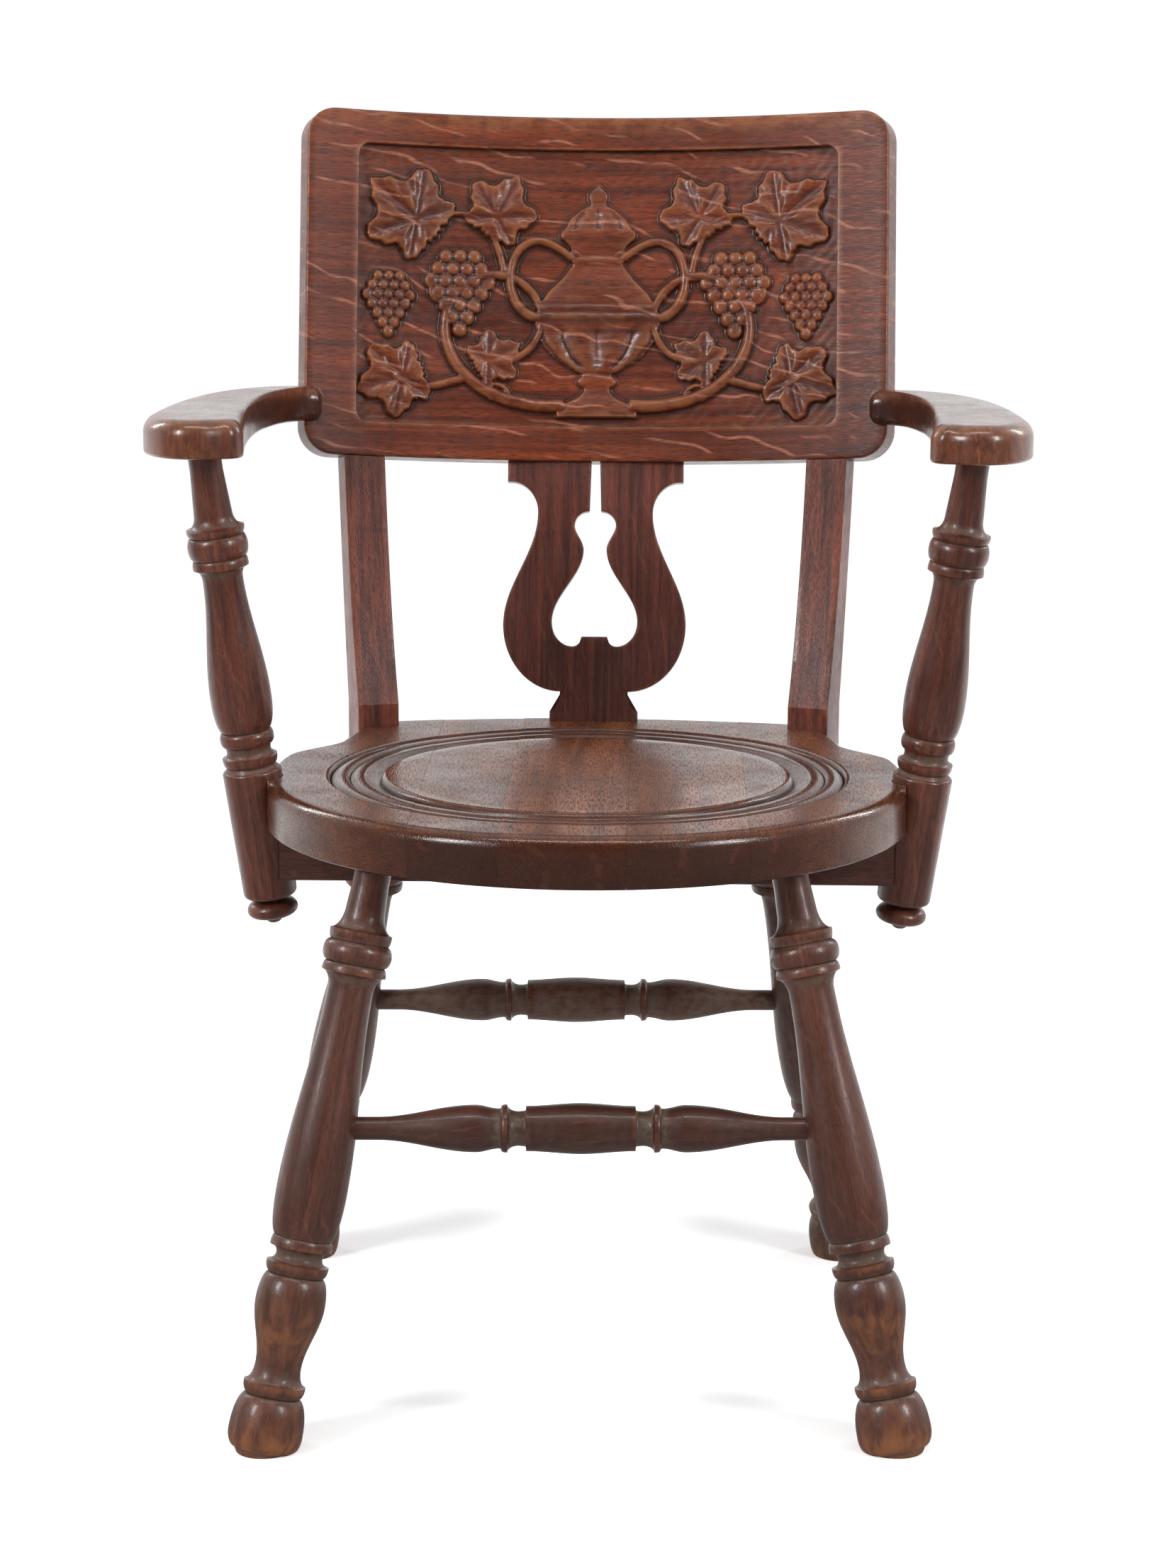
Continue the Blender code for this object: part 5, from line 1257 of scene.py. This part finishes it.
def panel_grid(back):
    """The panel: a section carried round it, from its sunk field's floor over the lip, border and edge to its back."""
    height, thick, arris = back.panel_height, back.panel_thickness, back.arris
    field = (back.panel_half - back.field_side, back.field_bottom, height - back.field_top)
    lip = 0.0007
    floor = back.field_depth + 0.0015
    middle = np.array([0.0, (field[1] + field[2]) / 2])

    def field_outline(out):
        return rounded_outline(field[0] + out, field[1] - out, field[2] + out, back.field_corner + out)

    def panel_outline(inset):
        return rounded_outline(back.panel_half - inset, inset, height - inset, back.corner - inset)

    arc = np.linspace(0, np.pi / 2, 6)
    ground = field_outline(0) - middle
    rows = [(middle + ground * share, floor, 0.0, 0.0) for share in np.linspace(0, 1, 16)[:-1]]
    rows += [(field_outline(0), floor - (floor - lip) * share, 0.0, 0.9 - share) for share in np.linspace(0, 1, 8)]
    rows += [(field_outline(lip * (1 - np.cos(a))), lip * (1 - np.sin(a)), 0.75, 0.0) for a in arc[1:]]
    inner, outer = field_outline(lip), panel_outline(arris)
    rows += [(inner + (outer - inner) * share, 0.0, 0.10, 0.0) for share in np.linspace(0, 1, 9)[1:]]
    rows += [(panel_outline(arris * (1 - np.sin(a))), arris * (1 - np.cos(a)), 0.6, 0.0) for a in arc[1:]]
    rows += [(panel_outline(0), arris + (thick - 2 * arris) * share, 0.05, 0.0) for share in np.linspace(0, 1, 6)[1:]]
    rows += [(panel_outline(arris * (1 - np.cos(a))), thick - arris * (1 - np.sin(a)), 0.6, 0.0) for a in arc[1:]]
    centre = np.array([0.0, height / 2])
    rows += [(centre + (outer - centre) * (1 - share), thick, 0.0, 0.0) for share in np.linspace(0, 1, 16)[1:]]
    flat = np.stack([row[0] for row in rows])
    depth = np.stack([np.full(flat.shape[1], row[1]) for row in rows])
    wear = np.stack([np.full(flat.shape[1], row[2]) for row in rows])
    wear = np.maximum(wear, 0.8 * ease(flat[..., 1], field[2], height) * (depth < arris))
    grime = np.stack([np.full(flat.shape[1], row[3]) for row in rows])
    along, up = flat[..., 0], flat[..., 1]
    points = on_panel(back, along, up, depth)
    grain = np.stack([up, depth, along], axis=-1) + grain_offset(24)
    return Grid(points, grain, wear, grime)


# Carving


def stroke(x, y, path, widths, height):
    """A rounded cord along a path: half an ellipse across it, by the distance to the nearest stretch."""
    raised = np.zeros(x.shape)
    for start, end, first, second in zip(path[:-1], path[1:], widths[:-1], widths[1:]):
        run = end - start
        share = np.clip(((x - start[0]) * run[0] + (y - start[1]) * run[1]) / (run @ run), 0, 1)
        distance = np.hypot(x - start[0] - share * run[0], y - start[1] - share * run[1])
        width = first + (second - first) * share
        level = height * np.minimum(1, width / widths.max() + 0.25)
        raised = np.maximum(raised, level * np.sqrt(np.clip(1 - (distance / width) ** 2, 0, 1)))
    return raised


def curl(start, heading, curvatures, steps, run):
    """A path that starts with a heading and bends by a curvature that changes evenly along it."""
    places = np.linspace(0, 1, steps)
    bending = np.interp(places, np.linspace(0, 1, len(curvatures)), curvatures)
    angles = math.radians(heading) + np.cumsum(bending) * run / steps
    moves = np.stack([np.cos(angles), np.sin(angles)], axis=-1) * run / steps
    return np.asarray(start) + np.concatenate([np.zeros((1, 2)), np.cumsum(moves, axis=0)])


def vine_leaf(x, y, place, heading, size, height):
    """A five-lobed leaf: pointed lobes by angle with a toothed rim, and puffed between veins that are cut in."""
    turn_by = math.radians(heading)
    u = (x - place[0]) * math.cos(turn_by) + (y - place[1]) * math.sin(turn_by)
    v = (y - place[1]) * math.cos(turn_by) - (x - place[0]) * math.sin(turn_by)
    radius, angle = np.hypot(u, v), np.arctan2(v, u)
    outline = np.full(x.shape, 0.45)
    to_vein = np.full(x.shape, 1.0)
    for direction, reach in ((0.0, 1.0), (1.02, 0.9), (-1.02, 0.9), (2.1, 0.72), (-2.1, 0.72)):
        off = np.arctan2(np.sin(angle - direction), np.cos(angle - direction))
        outline = np.maximum(outline, reach * (1 - 0.62 * np.abs(off)))
        side = np.where(np.cos(off) > 0, np.abs(radius * np.sin(off)), radius)
        to_vein = np.minimum(to_vein, side)
    teeth = np.abs((angle * 11 / np.pi) % 1 - 0.5)
    outline = size * (outline + 0.10 * teeth - 0.03)
    rim = ease(outline - radius, 0.0, 0.0020)
    puffed = ease(to_vein, 0.0002, 0.0075)
    droop = 1 - 0.42 * np.clip(radius / size, 0, 1) ** 2
    ribs = 0.05 * np.cos(to_vein * 900 - radius * 420)
    return height * rim * droop * (0.62 + 0.38 * puffed + ribs * puffed)


def grape_bunch(x, y, place, size, height):
    """A hanging bunch: rows of balls that narrow downwards, fuller in the middle."""
    raised = np.zeros(x.shape)
    rows = (3, 4, 5, 4, 3, 2, 1)
    for row, count in enumerate(rows):
        for number in range(count):
            middle_x = place[0] + (number - (count - 1) / 2) * 1.74 * size
            middle_y = place[1] - row * 1.50 * size
            fuller = 1 - 0.40 * (abs(number - (count - 1) / 2) / 2.5) ** 2 - 0.03 * row
            away = ((x - middle_x) ** 2 + (y - middle_y) ** 2) / size**2
            ball = np.sqrt(np.clip(1 - away, 0, 1))
            raised = np.maximum(raised, (away < 1) * height * fuller * (0.30 + 0.70 * ball))
    return raised


def urn(x, y, height):
    """A covered urn in half round: an ellipse across at each height, with beads, flutes and two scrolled handles."""
    outline = np.array(
        [
            (0.036, 0.033), (0.041, 0.033), (0.043, 0.029), (0.048, 0.026), (0.054, 0.014), (0.060, 0.010),
            (0.064, 0.016), (0.068, 0.016), (0.071, 0.011), (0.076, 0.020), (0.085, 0.035), (0.098, 0.046),
            (0.112, 0.051), (0.126, 0.049), (0.140, 0.040), (0.152, 0.028), (0.162, 0.021), (0.170, 0.020),
            (0.178, 0.024), (0.184, 0.031), (0.189, 0.031), (0.192, 0.027), (0.200, 0.023), (0.208, 0.013),
            (0.212, 0.006), (0.216, 0.008), (0.221, 0.008), (0.226, 0.003), (0.228, 0.0005),
        ]
    )
    levels = np.linspace(outline[0, 0], outline[-1, 0], 600)
    widths = np.interp(levels, outline[:, 0], outline[:, 1])
    kernel = np.exp(-0.5 * (np.arange(-9, 10) / 3.2) ** 2)
    widths = np.convolve(np.pad(widths, 9, mode="edge"), kernel / kernel.sum(), mode="valid")
    width = np.interp(y, levels, widths, left=1e-6, right=1e-6)
    share = np.clip(x / width, -1, 1)
    body = height * np.minimum(1, np.sqrt(width / 0.045)) * (0.50 + 0.50 * np.sqrt(1 - share**2))
    flutes = ease(y, 0.074, 0.080) * ease(-y, -0.114, -0.104)
    body -= 0.0026 * flutes * (1 - np.abs(np.sin(5 * np.arcsin(share)))) * (np.abs(share) < 0.999)
    petals = ease(y, 0.190, 0.194) * ease(-y, -0.209, -0.203)
    body -= 0.0018 * petals * (1 - np.abs(np.sin(4 * np.arcsin(share)))) * (np.abs(share) < 0.999)
    for middle, thickness in ((0.119, 0.0022), (0.1265, 0.0013), (0.166, 0.0018)):
        body += 0.0011 * np.exp(-(((y - middle) / thickness) ** 2)) * (np.abs(share) < 0.999)
    raised = np.where(np.abs(x) < width, np.maximum(body, 0), 0)
    for side in (-1, 1):
        handle = cubic((0.022, 0.168), (0.075, 0.215), (0.088, 0.120), (0.047, 0.118), 26) * (side, 1)
        raised = np.maximum(raised, stroke(x, y, handle, np.linspace(0.0036, 0.0050, 26), 0.0056))
        scroll = curl((side * 0.024, 0.170), 90 + side * 60, np.array([-60, -520]) * -side, 22, 0.030)
        raised = np.maximum(raised, stroke(x, y, scroll, np.linspace(0.0034, 0.0020, 23), 0.0044))
    return raised


def vine(x, y, height):
    """One vine of a mirrored pair: a scrolling stem with leaves, bunches and tendrils, by the distance across."""
    across = np.abs(x)
    stem = curl((0.030, 0.046), -3, (5, 12, 20, 25, 28, 30), 60, 0.300)
    raised = stroke(across, y, stem, np.linspace(0.0060, 0.0034, 61), 0.0054)
    branch = curl(stem[16], -16, (-4, 10, 30, 44), 30, 0.080)
    raised = np.maximum(raised, stroke(across, y, branch, np.linspace(0.0042, 0.0028, 31), 0.0048))
    twig = curl(stem[40], 80, (-2, -20, -46), 26, 0.075)
    raised = np.maximum(raised, stroke(across, y, twig, np.linspace(0.0040, 0.0024, 27), 0.0044))
    for place, heading, bending, run in (
        (stem[8], 80, (-30, -160, -420), 0.060),
        (stem[30], -30, (40, 160, 420), 0.058),
        (twig[18], 160, (40, 200, 460), 0.056),
    ):
        tendril = curl(place, heading, bending, 40, run)
        raised = np.maximum(raised, stroke(across, y, tendril, np.linspace(0.0026, 0.0015, 41), 0.0034))
    leaves = (
        ((0.158, 0.068), -20, 0.042, 0.95),
        ((0.148, 0.196), 40, 0.050, 1.0),
        ((0.083, 0.200), 118, 0.040, 0.92),
        ((0.088, 0.082), 150, 0.031, 0.85),
    )
    for place, heading, size, share in leaves:
        raised = np.maximum(raised, vine_leaf(across, y, place, heading, size, height * share))
    raised = np.maximum(raised, grape_bunch(across, y, (0.112, 0.166), 0.0066, 1.05 * height))
    return np.maximum(raised, grape_bunch(across, y, (0.170, 0.148), 0.0050, 0.9 * height))


def soften(field, passes):
    """Each point averaged with its neighbours, a few times over."""
    for _ in range(passes):
        wide = np.pad(field, 1, mode="edge")
        field = (wide[:-2, 1:-1] + wide[2:, 1:-1] + wide[1:-1, :-2] + wide[1:-1, 2:] + 4 * field) / 8
    return field


def carving_grid(back, side):
    """Half of the carved field: a height over the ground at each place, closed by an underside along the ground."""
    half = back.panel_half - back.field_side - GAP
    low, high = back.field_bottom + GAP, back.panel_height - back.field_top - GAP
    across = np.linspace(0, half, int(half / back.carving_step)) * side
    if side < 0:
        across = across[::-1]
    up = np.linspace(low, high, int((high - low) / back.carving_step))
    x, y = np.meshgrid(across, up)
    full = 0.92 * back.field_depth
    raised = np.maximum(vine(x, y, full), urn(x, y, full))
    raised = soften(raised, 2)
    level = soften(raised, 40)
    proud = (raised - level) / 0.0011
    on_form = ease(raised, 0.0005, 0.0020)
    wear = on_form * np.clip(0.38 + 0.62 * proud, 0, 1)
    near_wall = np.minimum(np.minimum(half - np.abs(x), y - low), high - y)
    hollow = np.clip(-1.2 * proud, 0, 1)
    grime = np.maximum(0.35 * hollow, 0.8 * ease(-near_wall, -0.006, 0.0))
    tools = 0.00012 * np.sin(x * 410 + 3 * np.sin(y * 95)) * np.sin(y * 330 + 2 * np.sin(x * 120))
    depth = back.field_depth - raised - tools
    rings = 8
    layers = (x, y, depth, wear, grime, hollow)
    x, y, depth, wear, grime, hollow = (np.pad(layer, rings + 1, mode="edge") for layer in layers)
    row, column = np.indices(depth.shape)
    row = np.minimum(row, depth.shape[0] - 1 - row)
    column = np.minimum(column, depth.shape[1] - 1 - column)
    inward = np.clip(1 - np.minimum(row, column) / rings, 0, 1)
    depth[np.minimum(row, column) <= rings] = back.field_depth + 0.0014
    x += (side * half / 2 - x) * inward
    y += ((low + high) / 2 - y) * inward
    points = on_panel(back, x, y, depth)
    grain = np.stack([y, depth, x], axis=-1) + grain_offset(24)
    # Painted shade darkens the hollows round the carved forms; the grime there gives them dust.
    return Grid(points, grain, wear, grime, 0.9 * hollow)


# Screws


def screw_head_grid(place, outward, turn_by):
    """A slotted screw head: a low dome by angle and radius, with a straight slot sunk across it."""
    radii = np.concatenate([np.linspace(0, 0.0036, 14), [0.0039, 0.0040, 0.0040, 0.0]])
    dome = np.concatenate([0.0007 * np.cos(np.linspace(0, 1.1, 14)), [0.0002, -0.0001, -0.0020, -0.0020]])
    angles = np.linspace(0, 2 * np.pi, 48, endpoint=False)
    x, y = radii[:, None] * np.cos(angles), radii[:, None] * np.sin(angles)
    slot = np.abs(x * math.cos(turn_by) + y * math.sin(turn_by)) < 0.0005
    z = dome[:, None] - 0.0008 * slot * (np.arange(len(radii)) < 14)[:, None]
    axes, _ = axes_along(place, place + outward)
    points = place + np.stack([x, y, z], axis=-1) @ axes
    return Grid(points, points, np.zeros(x.shape), np.zeros(x.shape))


def screw_places(seat, arms, back):
    """Where the screws of the arms and of the back posts show behind, with the way each looks and its CAD node."""
    rows = []
    for index, side in enumerate((-1, 1)):
        along = side * (back.panel_half - ARM_SCREW_INSET)
        for row, offset in enumerate((-0.5, 0.5)):
            node = f"arm_screw_{2 * index + row + 1}"
            middle_z = (arms.top - arms.thickness / 2 - back.panel_z) / math.cos(back.lean)
            height = middle_z + offset * ARM_SCREW_SPACING
            place = on_panel(back, np.array([along]), height, back.panel_thickness)[0]
            ahead = on_panel(back, np.array([along]), height, 0.0)[0]
            rows.append((node, place, (place - ahead) / np.linalg.norm(place - ahead)))
        start, across, behind = back_post_place(seat, back, side)
        for row, offset in enumerate((-0.5, 0.5)):
            up = np.array([0, 0, -seat.thickness / 2 + offset * BACK_POST_SCREW_SPACING])
            rows.append((f"back_post_screw_{2 * index + row + 1}", start + behind * back.post_foot + up, behind))
    return rows


# Stage


def stage_floor(stage):
    """A wide pale floor that keeps the shadow and looks white beyond it."""
    mesh = bpy.data.meshes.new("studio_floor")
    half = 30.0
    mesh.from_pydata([(-half, -half, 0), (half, -half, 0), (half, half, 0), (-half, half, 0)], [], [(0, 1, 2, 3)])
    floor = bpy.data.objects.new("studio_floor", mesh)
    bpy.context.scene.collection.objects.link(floor)
    material = bpy.data.materials.new("studio_floor")
    material.use_nodes = True
    tree = material.node_tree
    shader = tree.nodes["Principled BSDF"]
    shader.inputs["Roughness"].default_value = 0.9
    shader.inputs["Specular IOR Level"].default_value = 0.1
    shader.inputs["Emission Color"].default_value = (1.0, 1.0, 1.0, 1.0)
    seen = tree.nodes.new("ShaderNodeLightPath")
    spot = tree.nodes.new("ShaderNodeSeparateXYZ")
    tree.links.new(tree.nodes.new("ShaderNodeTexCoord").outputs["Object"], spot.inputs["Vector"])
    to_feet = []
    for axis, middle, half in (("X", 0.0, 0.17), ("Y", 0.0, 0.22)):
        off_middle = arithmetic(tree, "ABSOLUTE", arithmetic(tree, "SUBTRACT", spot.outputs[axis], middle), 0.0)
        to_feet.append(arithmetic(tree, "POWER", arithmetic(tree, "SUBTRACT", off_middle, half), 2.0))
    off_feet = arithmetic(tree, "SQRT", arithmetic(tree, "ADD", *to_feet), 0.0)
    white = spread(tree, off_feet, 0.06, 0.17, stage.floor_glow, 0.85)
    behind = spread(tree, spot.outputs["Y"], -0.4, 1.2)
    mirrored = arithmetic(tree, "MAXIMUM", seen.outputs["Is Glossy Ray"], seen.outputs["Is Transmission Ray"])
    in_front = arithmetic(tree, "MULTIPLY", mirrored, arithmetic(tree, "SUBTRACT", 1.0, behind))
    tree.links.new(blend(tree, in_front, (*stage.floor, 1.0), (0.3, 0.3, 0.3, 1.0)), shader.inputs["Base Color"])
    mirrored = arithmetic(tree, "MULTIPLY", mirrored, behind)
    glow = arithmetic(tree, "MULTIPLY", arithmetic(tree, "MAXIMUM", seen.outputs["Is Camera Ray"], mirrored), white)
    tree.links.new(glow, shader.inputs["Emission Strength"])
    mesh.materials.append(material)


def stage_sky(stage):
    """Even light from all round; the camera and shining surfaces see it white behind the chair."""
    world = bpy.data.worlds.new("studio")
    world.use_nodes = True
    tree = world.node_tree
    back = tree.nodes["Background"]
    back.inputs["Color"].default_value = (1.0, 1.0, 1.0, 1.0)
    ray = tree.nodes.new("ShaderNodeLightPath").outputs
    heading = tree.nodes.new("ShaderNodeSeparateXYZ")
    tree.links.new(tree.nodes.new("ShaderNodeTexCoord").outputs["Generated"], heading.inputs["Vector"])
    behind = spread(tree, heading.outputs["Y"], -0.35, 0.45)
    mirrored = arithmetic(tree, "MAXIMUM", ray["Is Glossy Ray"], ray["Is Transmission Ray"])
    seen = arithmetic(tree, "MAXIMUM", ray["Is Camera Ray"], arithmetic(tree, "MULTIPLY", mirrored, behind))
    strength = arithmetic(tree, "ADD", arithmetic(tree, "MULTIPLY", seen, 1.0 - stage.sky), stage.sky)
    tree.links.new(strength, back.inputs["Strength"])
    bpy.context.scene.world = world


def stage_lamp(name, place, target, width, height, power):
    """A soft box that looks at a point."""
    data = bpy.data.lights.new(name, "AREA")
    data.shape = "RECTANGLE"
    data.size = width
    data.size_y = height
    data.energy = power
    lamp = bpy.data.objects.new(name, data)
    lamp.location = place
    lamp.rotation_euler = (Vector(target) - Vector(place)).to_track_quat("-Z", "Y").to_euler()
    bpy.context.scene.collection.objects.link(lamp)


def stage_camera():
    """The camera at the photograph's angle: where it stands, how it looks down, its turn and its slight roll."""
    data = bpy.data.cameras.new("camera")
    data.sensor_width = 36.0
    data.lens = 81.37
    camera = bpy.data.objects.new("camera", data)
    place = Matrix.Translation((0.0551, RING_CENTRE_Y - 2.6234, 0.945))
    heading, down, roll = 0.0208, 0.1914, 0.0052
    looking = Matrix.Rotation(heading, 4, "Z") @ Matrix.Rotation(math.pi / 2 - down, 4, "X")
    camera.matrix_world = place @ looking @ Matrix.Rotation(roll, 4, "Z")
    bpy.context.scene.collection.objects.link(camera)
    bpy.context.scene.camera = camera


# Operators


SIDES = ((-1, "left"), (1, "right"))


class OAKCHAIR_OT_seat(bpy.types.Operator):
    """Build the five boards of the turned seat and the rail under it"""

    bl_idname = "oak_chair.seat"
    bl_label = "Seat and Rail"

    def execute(self, context):
        scene = context.scene
        seat, arms, back = scene.oak_seat, scene.oak_arms, scene.oak_back
        material = seat_oak(scene.oak_colours)
        for board, name in enumerate(SEAT_BOARDS):
            cuts = []
            if board > 0:
                cuts.append(((SEAT_JOINTS[board - 1] + BOARD_GAP / 2, 0, 0), (-1, 0, 0)))
            if board < len(SEAT_JOINTS):
                cuts.append(((SEAT_JOINTS[board] - BOARD_GAP / 2, 0, 0), (1, 0, 0)))
            grid = seat_grid(seat, arms, back, board)
            add_piece(f"seat_{name}", [grid], material, [f"seat_board_{name}"], cuts)
        rail = rail_grid(seat, arms)
        add_piece("rail", [rail], post_oak(scene.oak_colours), ["seat_rail"])
        return {"FINISHED"}


class OAKCHAIR_OT_legs(bpy.types.Operator):
    """Build the four turned legs and the two turned stretchers"""

    bl_idname = "oak_chair.legs"
    bl_label = "Legs and Stretchers"

    def execute(self, context):
        scene = context.scene
        seat, legs = scene.oak_seat, scene.oak_legs
        material = leg_oak(scene.oak_colours)
        number = 6
        for back, row in ((False, "front"), (True, "back")):
            for side, name in SIDES:
                number += 1
                grid = leg_grid(seat, legs, side, back, number)
                floor = [((0, 0, 0), (0, 0, -1))]
                add_piece(f"leg_{row}_{name}", [grid], material, [f"{row}_{name}_leg"], floor)
            number += 1
            grid = rung_grid(seat, legs, back, number)
            add_piece(f"stretcher_{row}", [grid], material, [f"{row}_stretcher"])
        return {"FINISHED"}


class OAKCHAIR_OT_arm_posts(bpy.types.Operator):
    """Build the two turned arm posts and the drops below them"""

    bl_idname = "oak_chair.arm_posts"
    bl_label = "Arm Posts and Drops"

    def execute(self, context):
        scene = context.scene
        seat, arms = scene.oak_seat, scene.oak_arms
        material = post_oak(scene.oak_colours)
        for index, (side, name) in enumerate(SIDES):
            post = arm_post_grid(seat, arms, side, 14 + index)
            add_piece(f"arm_post_{name}", [post], material, [f"{name}_arm_post"])
            drop = drop_grid(seat, arms, side, 16 + index)
            add_piece(f"drop_{name}", [drop], material, [f"{name}_post_drop"])
        return {"FINISHED"}


class OAKCHAIR_OT_arms(bpy.types.Operator):
    """Build the two curved arms"""

    bl_idname = "oak_chair.arms"
    bl_label = "Arms"

    def execute(self, context):
        scene = context.scene
        material = arm_oak(scene.oak_colours)
        for index, (side, name) in enumerate(SIDES):
            grid = arm_grid(scene.oak_seat, scene.oak_arms, scene.oak_back, side, 18 + index)
            add_piece(f"arm_{name}", [grid], material, [f"{name}_arm"])
        return {"FINISHED"}


class OAKCHAIR_OT_back(bpy.types.Operator):
    """Build the two back posts and the lyre splat"""

    bl_idname = "oak_chair.back"
    bl_label = "Back Posts and Splat"

    def execute(self, context):
        scene = context.scene
        seat, back = scene.oak_seat, scene.oak_back
        material = frame_oak(scene.oak_colours)
        edge = on_panel(back, np.zeros(1), -GAP, 0.0)[0]
        up = on_panel(back, np.zeros(1), 1.0, 0.0)[0] - on_panel(back, np.zeros(1), 0.0, 0.0)[0]
        for index, (side, name) in enumerate(SIDES):
            grid = back_post_grid(seat, back, side, 22 + index)
            cuts = [(tuple(edge), tuple(up))]
            add_piece(f"back_post_{name}", [grid], material, [f"{name}_back_post"], cuts, crease=14.0)
        halves = [splat_grid(seat, back, side) for side in (-1, 1)]
        add_piece("splat", halves, material, ["lyre_splat"])
        return {"FINISHED"}


class OAKCHAIR_OT_panel(bpy.types.Operator):
    """Build the curved panel and its carved field"""

    bl_idname = "oak_chair.panel"
    bl_label = "Carved Panel"

    def execute(self, context):
        scene = context.scene
        back = scene.oak_back
        material = back_oak(scene.oak_colours)
        add_piece("panel", [panel_grid(back)], material, ["back_panel"])
        for side, name in SIDES:
            add_piece(f"carving_{name}", [carving_grid(back, side)], material, [], closed=False)
        return {"FINISHED"}


class OAKCHAIR_OT_screws(bpy.types.Operator):
    """Build the screw heads that show behind, and give the hidden fasteners their finish"""

    bl_idname = "oak_chair.screws"
    bl_label = "Screws"

    def execute(self, context):
        scene = context.scene
        colours = scene.oak_colours
        steel = screw_steel(colours)
        for index, (node, place, outward) in enumerate(screw_places(scene.oak_seat, scene.oak_arms, scene.oak_back)):
            grid = screw_head_grid(place, outward, 0.7 + 1.3 * index)
            add_piece(f"head_{node}", [grid], steel, [node])
        for name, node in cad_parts.items():
            if node.hide_render:
                continue
            material = steel if "_screw_" in name else plug_oak(colours)
            for slot in node.material_slots:
                slot.material = material
        return {"FINISHED"}


class OAKCHAIR_OT_stage(bpy.types.Operator):
    """Set up the floor, the light and the camera"""

    bl_idname = "oak_chair.stage"
    bl_label = "Stage"

    def execute(self, context):
        scene = context.scene
        stage = scene.oak_stage
        stage_floor(stage)
        stage_sky(stage)
        stage_lamp("key_lamp", (-2.5, -2.2, 2.2), (0, 0, 0.5), 0.7, 1.3, stage.key_power)
        stage_lamp("fill_lamp", (2.6, -2.0, 2.1), (0, 0, 0.5), 0.7, 1.3, stage.fill_power)
        stage_lamp("top_lamp", (0.0, -0.9, 3.0), (0, 0, 0.4), 2.4, 0.15, stage.top_power)
        for side, name in SIDES:
            stage_lamp(f"rim_lamp_{name}", (2.0 * side, 1.3, 1.75), (0, 0, 0.5), 0.25, 0.9, stage.rim_power)
        stage_camera()
        scene.view_settings.view_transform = "Standard"
        return {"FINISHED"}


class OAKCHAIR_PT_sidebar(bpy.types.Panel):
    """Lists the steps that build the chair"""

    bl_idname = "OAKCHAIR_PT_sidebar"
    bl_label = "Oak Armchair"
    bl_space_type = "VIEW_3D"
    bl_region_type = "UI"
    bl_category = "Oak Chair"

    def draw(self, context):
        for operator in OPERATORS:
            self.layout.operator(operator.bl_idname)


OPERATORS = (
    OAKCHAIR_OT_seat,
    OAKCHAIR_OT_legs,
    OAKCHAIR_OT_arm_posts,
    OAKCHAIR_OT_arms,
    OAKCHAIR_OT_back,
    OAKCHAIR_OT_panel,
    OAKCHAIR_OT_screws,
    OAKCHAIR_OT_stage,
)
SETTINGS = (
    ("oak_seat", OakSeatSizes),
    ("oak_legs", OakLegSizes),
    ("oak_arms", OakArmSizes),
    ("oak_back", OakBackSizes),
    ("oak_colours", OakColours),
    ("oak_stage", OakStage),
)


def register():
    """Registers the settings, the operators and the panel."""
    for name, group in SETTINGS:
        bpy.utils.register_class(group)
        setattr(bpy.types.Scene, name, bpy.props.PointerProperty(type=group))
    for operator in OPERATORS:
        bpy.utils.register_class(operator)
    bpy.utils.register_class(OAKCHAIR_PT_sidebar)


def unregister():
    """Takes back what register did."""
    bpy.utils.unregister_class(OAKCHAIR_PT_sidebar)
    for operator in reversed(OPERATORS):
        bpy.utils.unregister_class(operator)
    for name, group in reversed(SETTINGS):
        delattr(bpy.types.Scene, name)
        bpy.utils.unregister_class(group)


def main():
    """Registers the add-on, and builds the chair and its stage."""
    register()
    bpy.ops.oak_chair.seat()
    bpy.ops.oak_chair.legs()
    bpy.ops.oak_chair.arm_posts()
    bpy.ops.oak_chair.arms()
    bpy.ops.oak_chair.back()
    bpy.ops.oak_chair.panel()
    bpy.ops.oak_chair.screws()
    bpy.ops.oak_chair.stage()


if __name__ == "__main__":
    main()
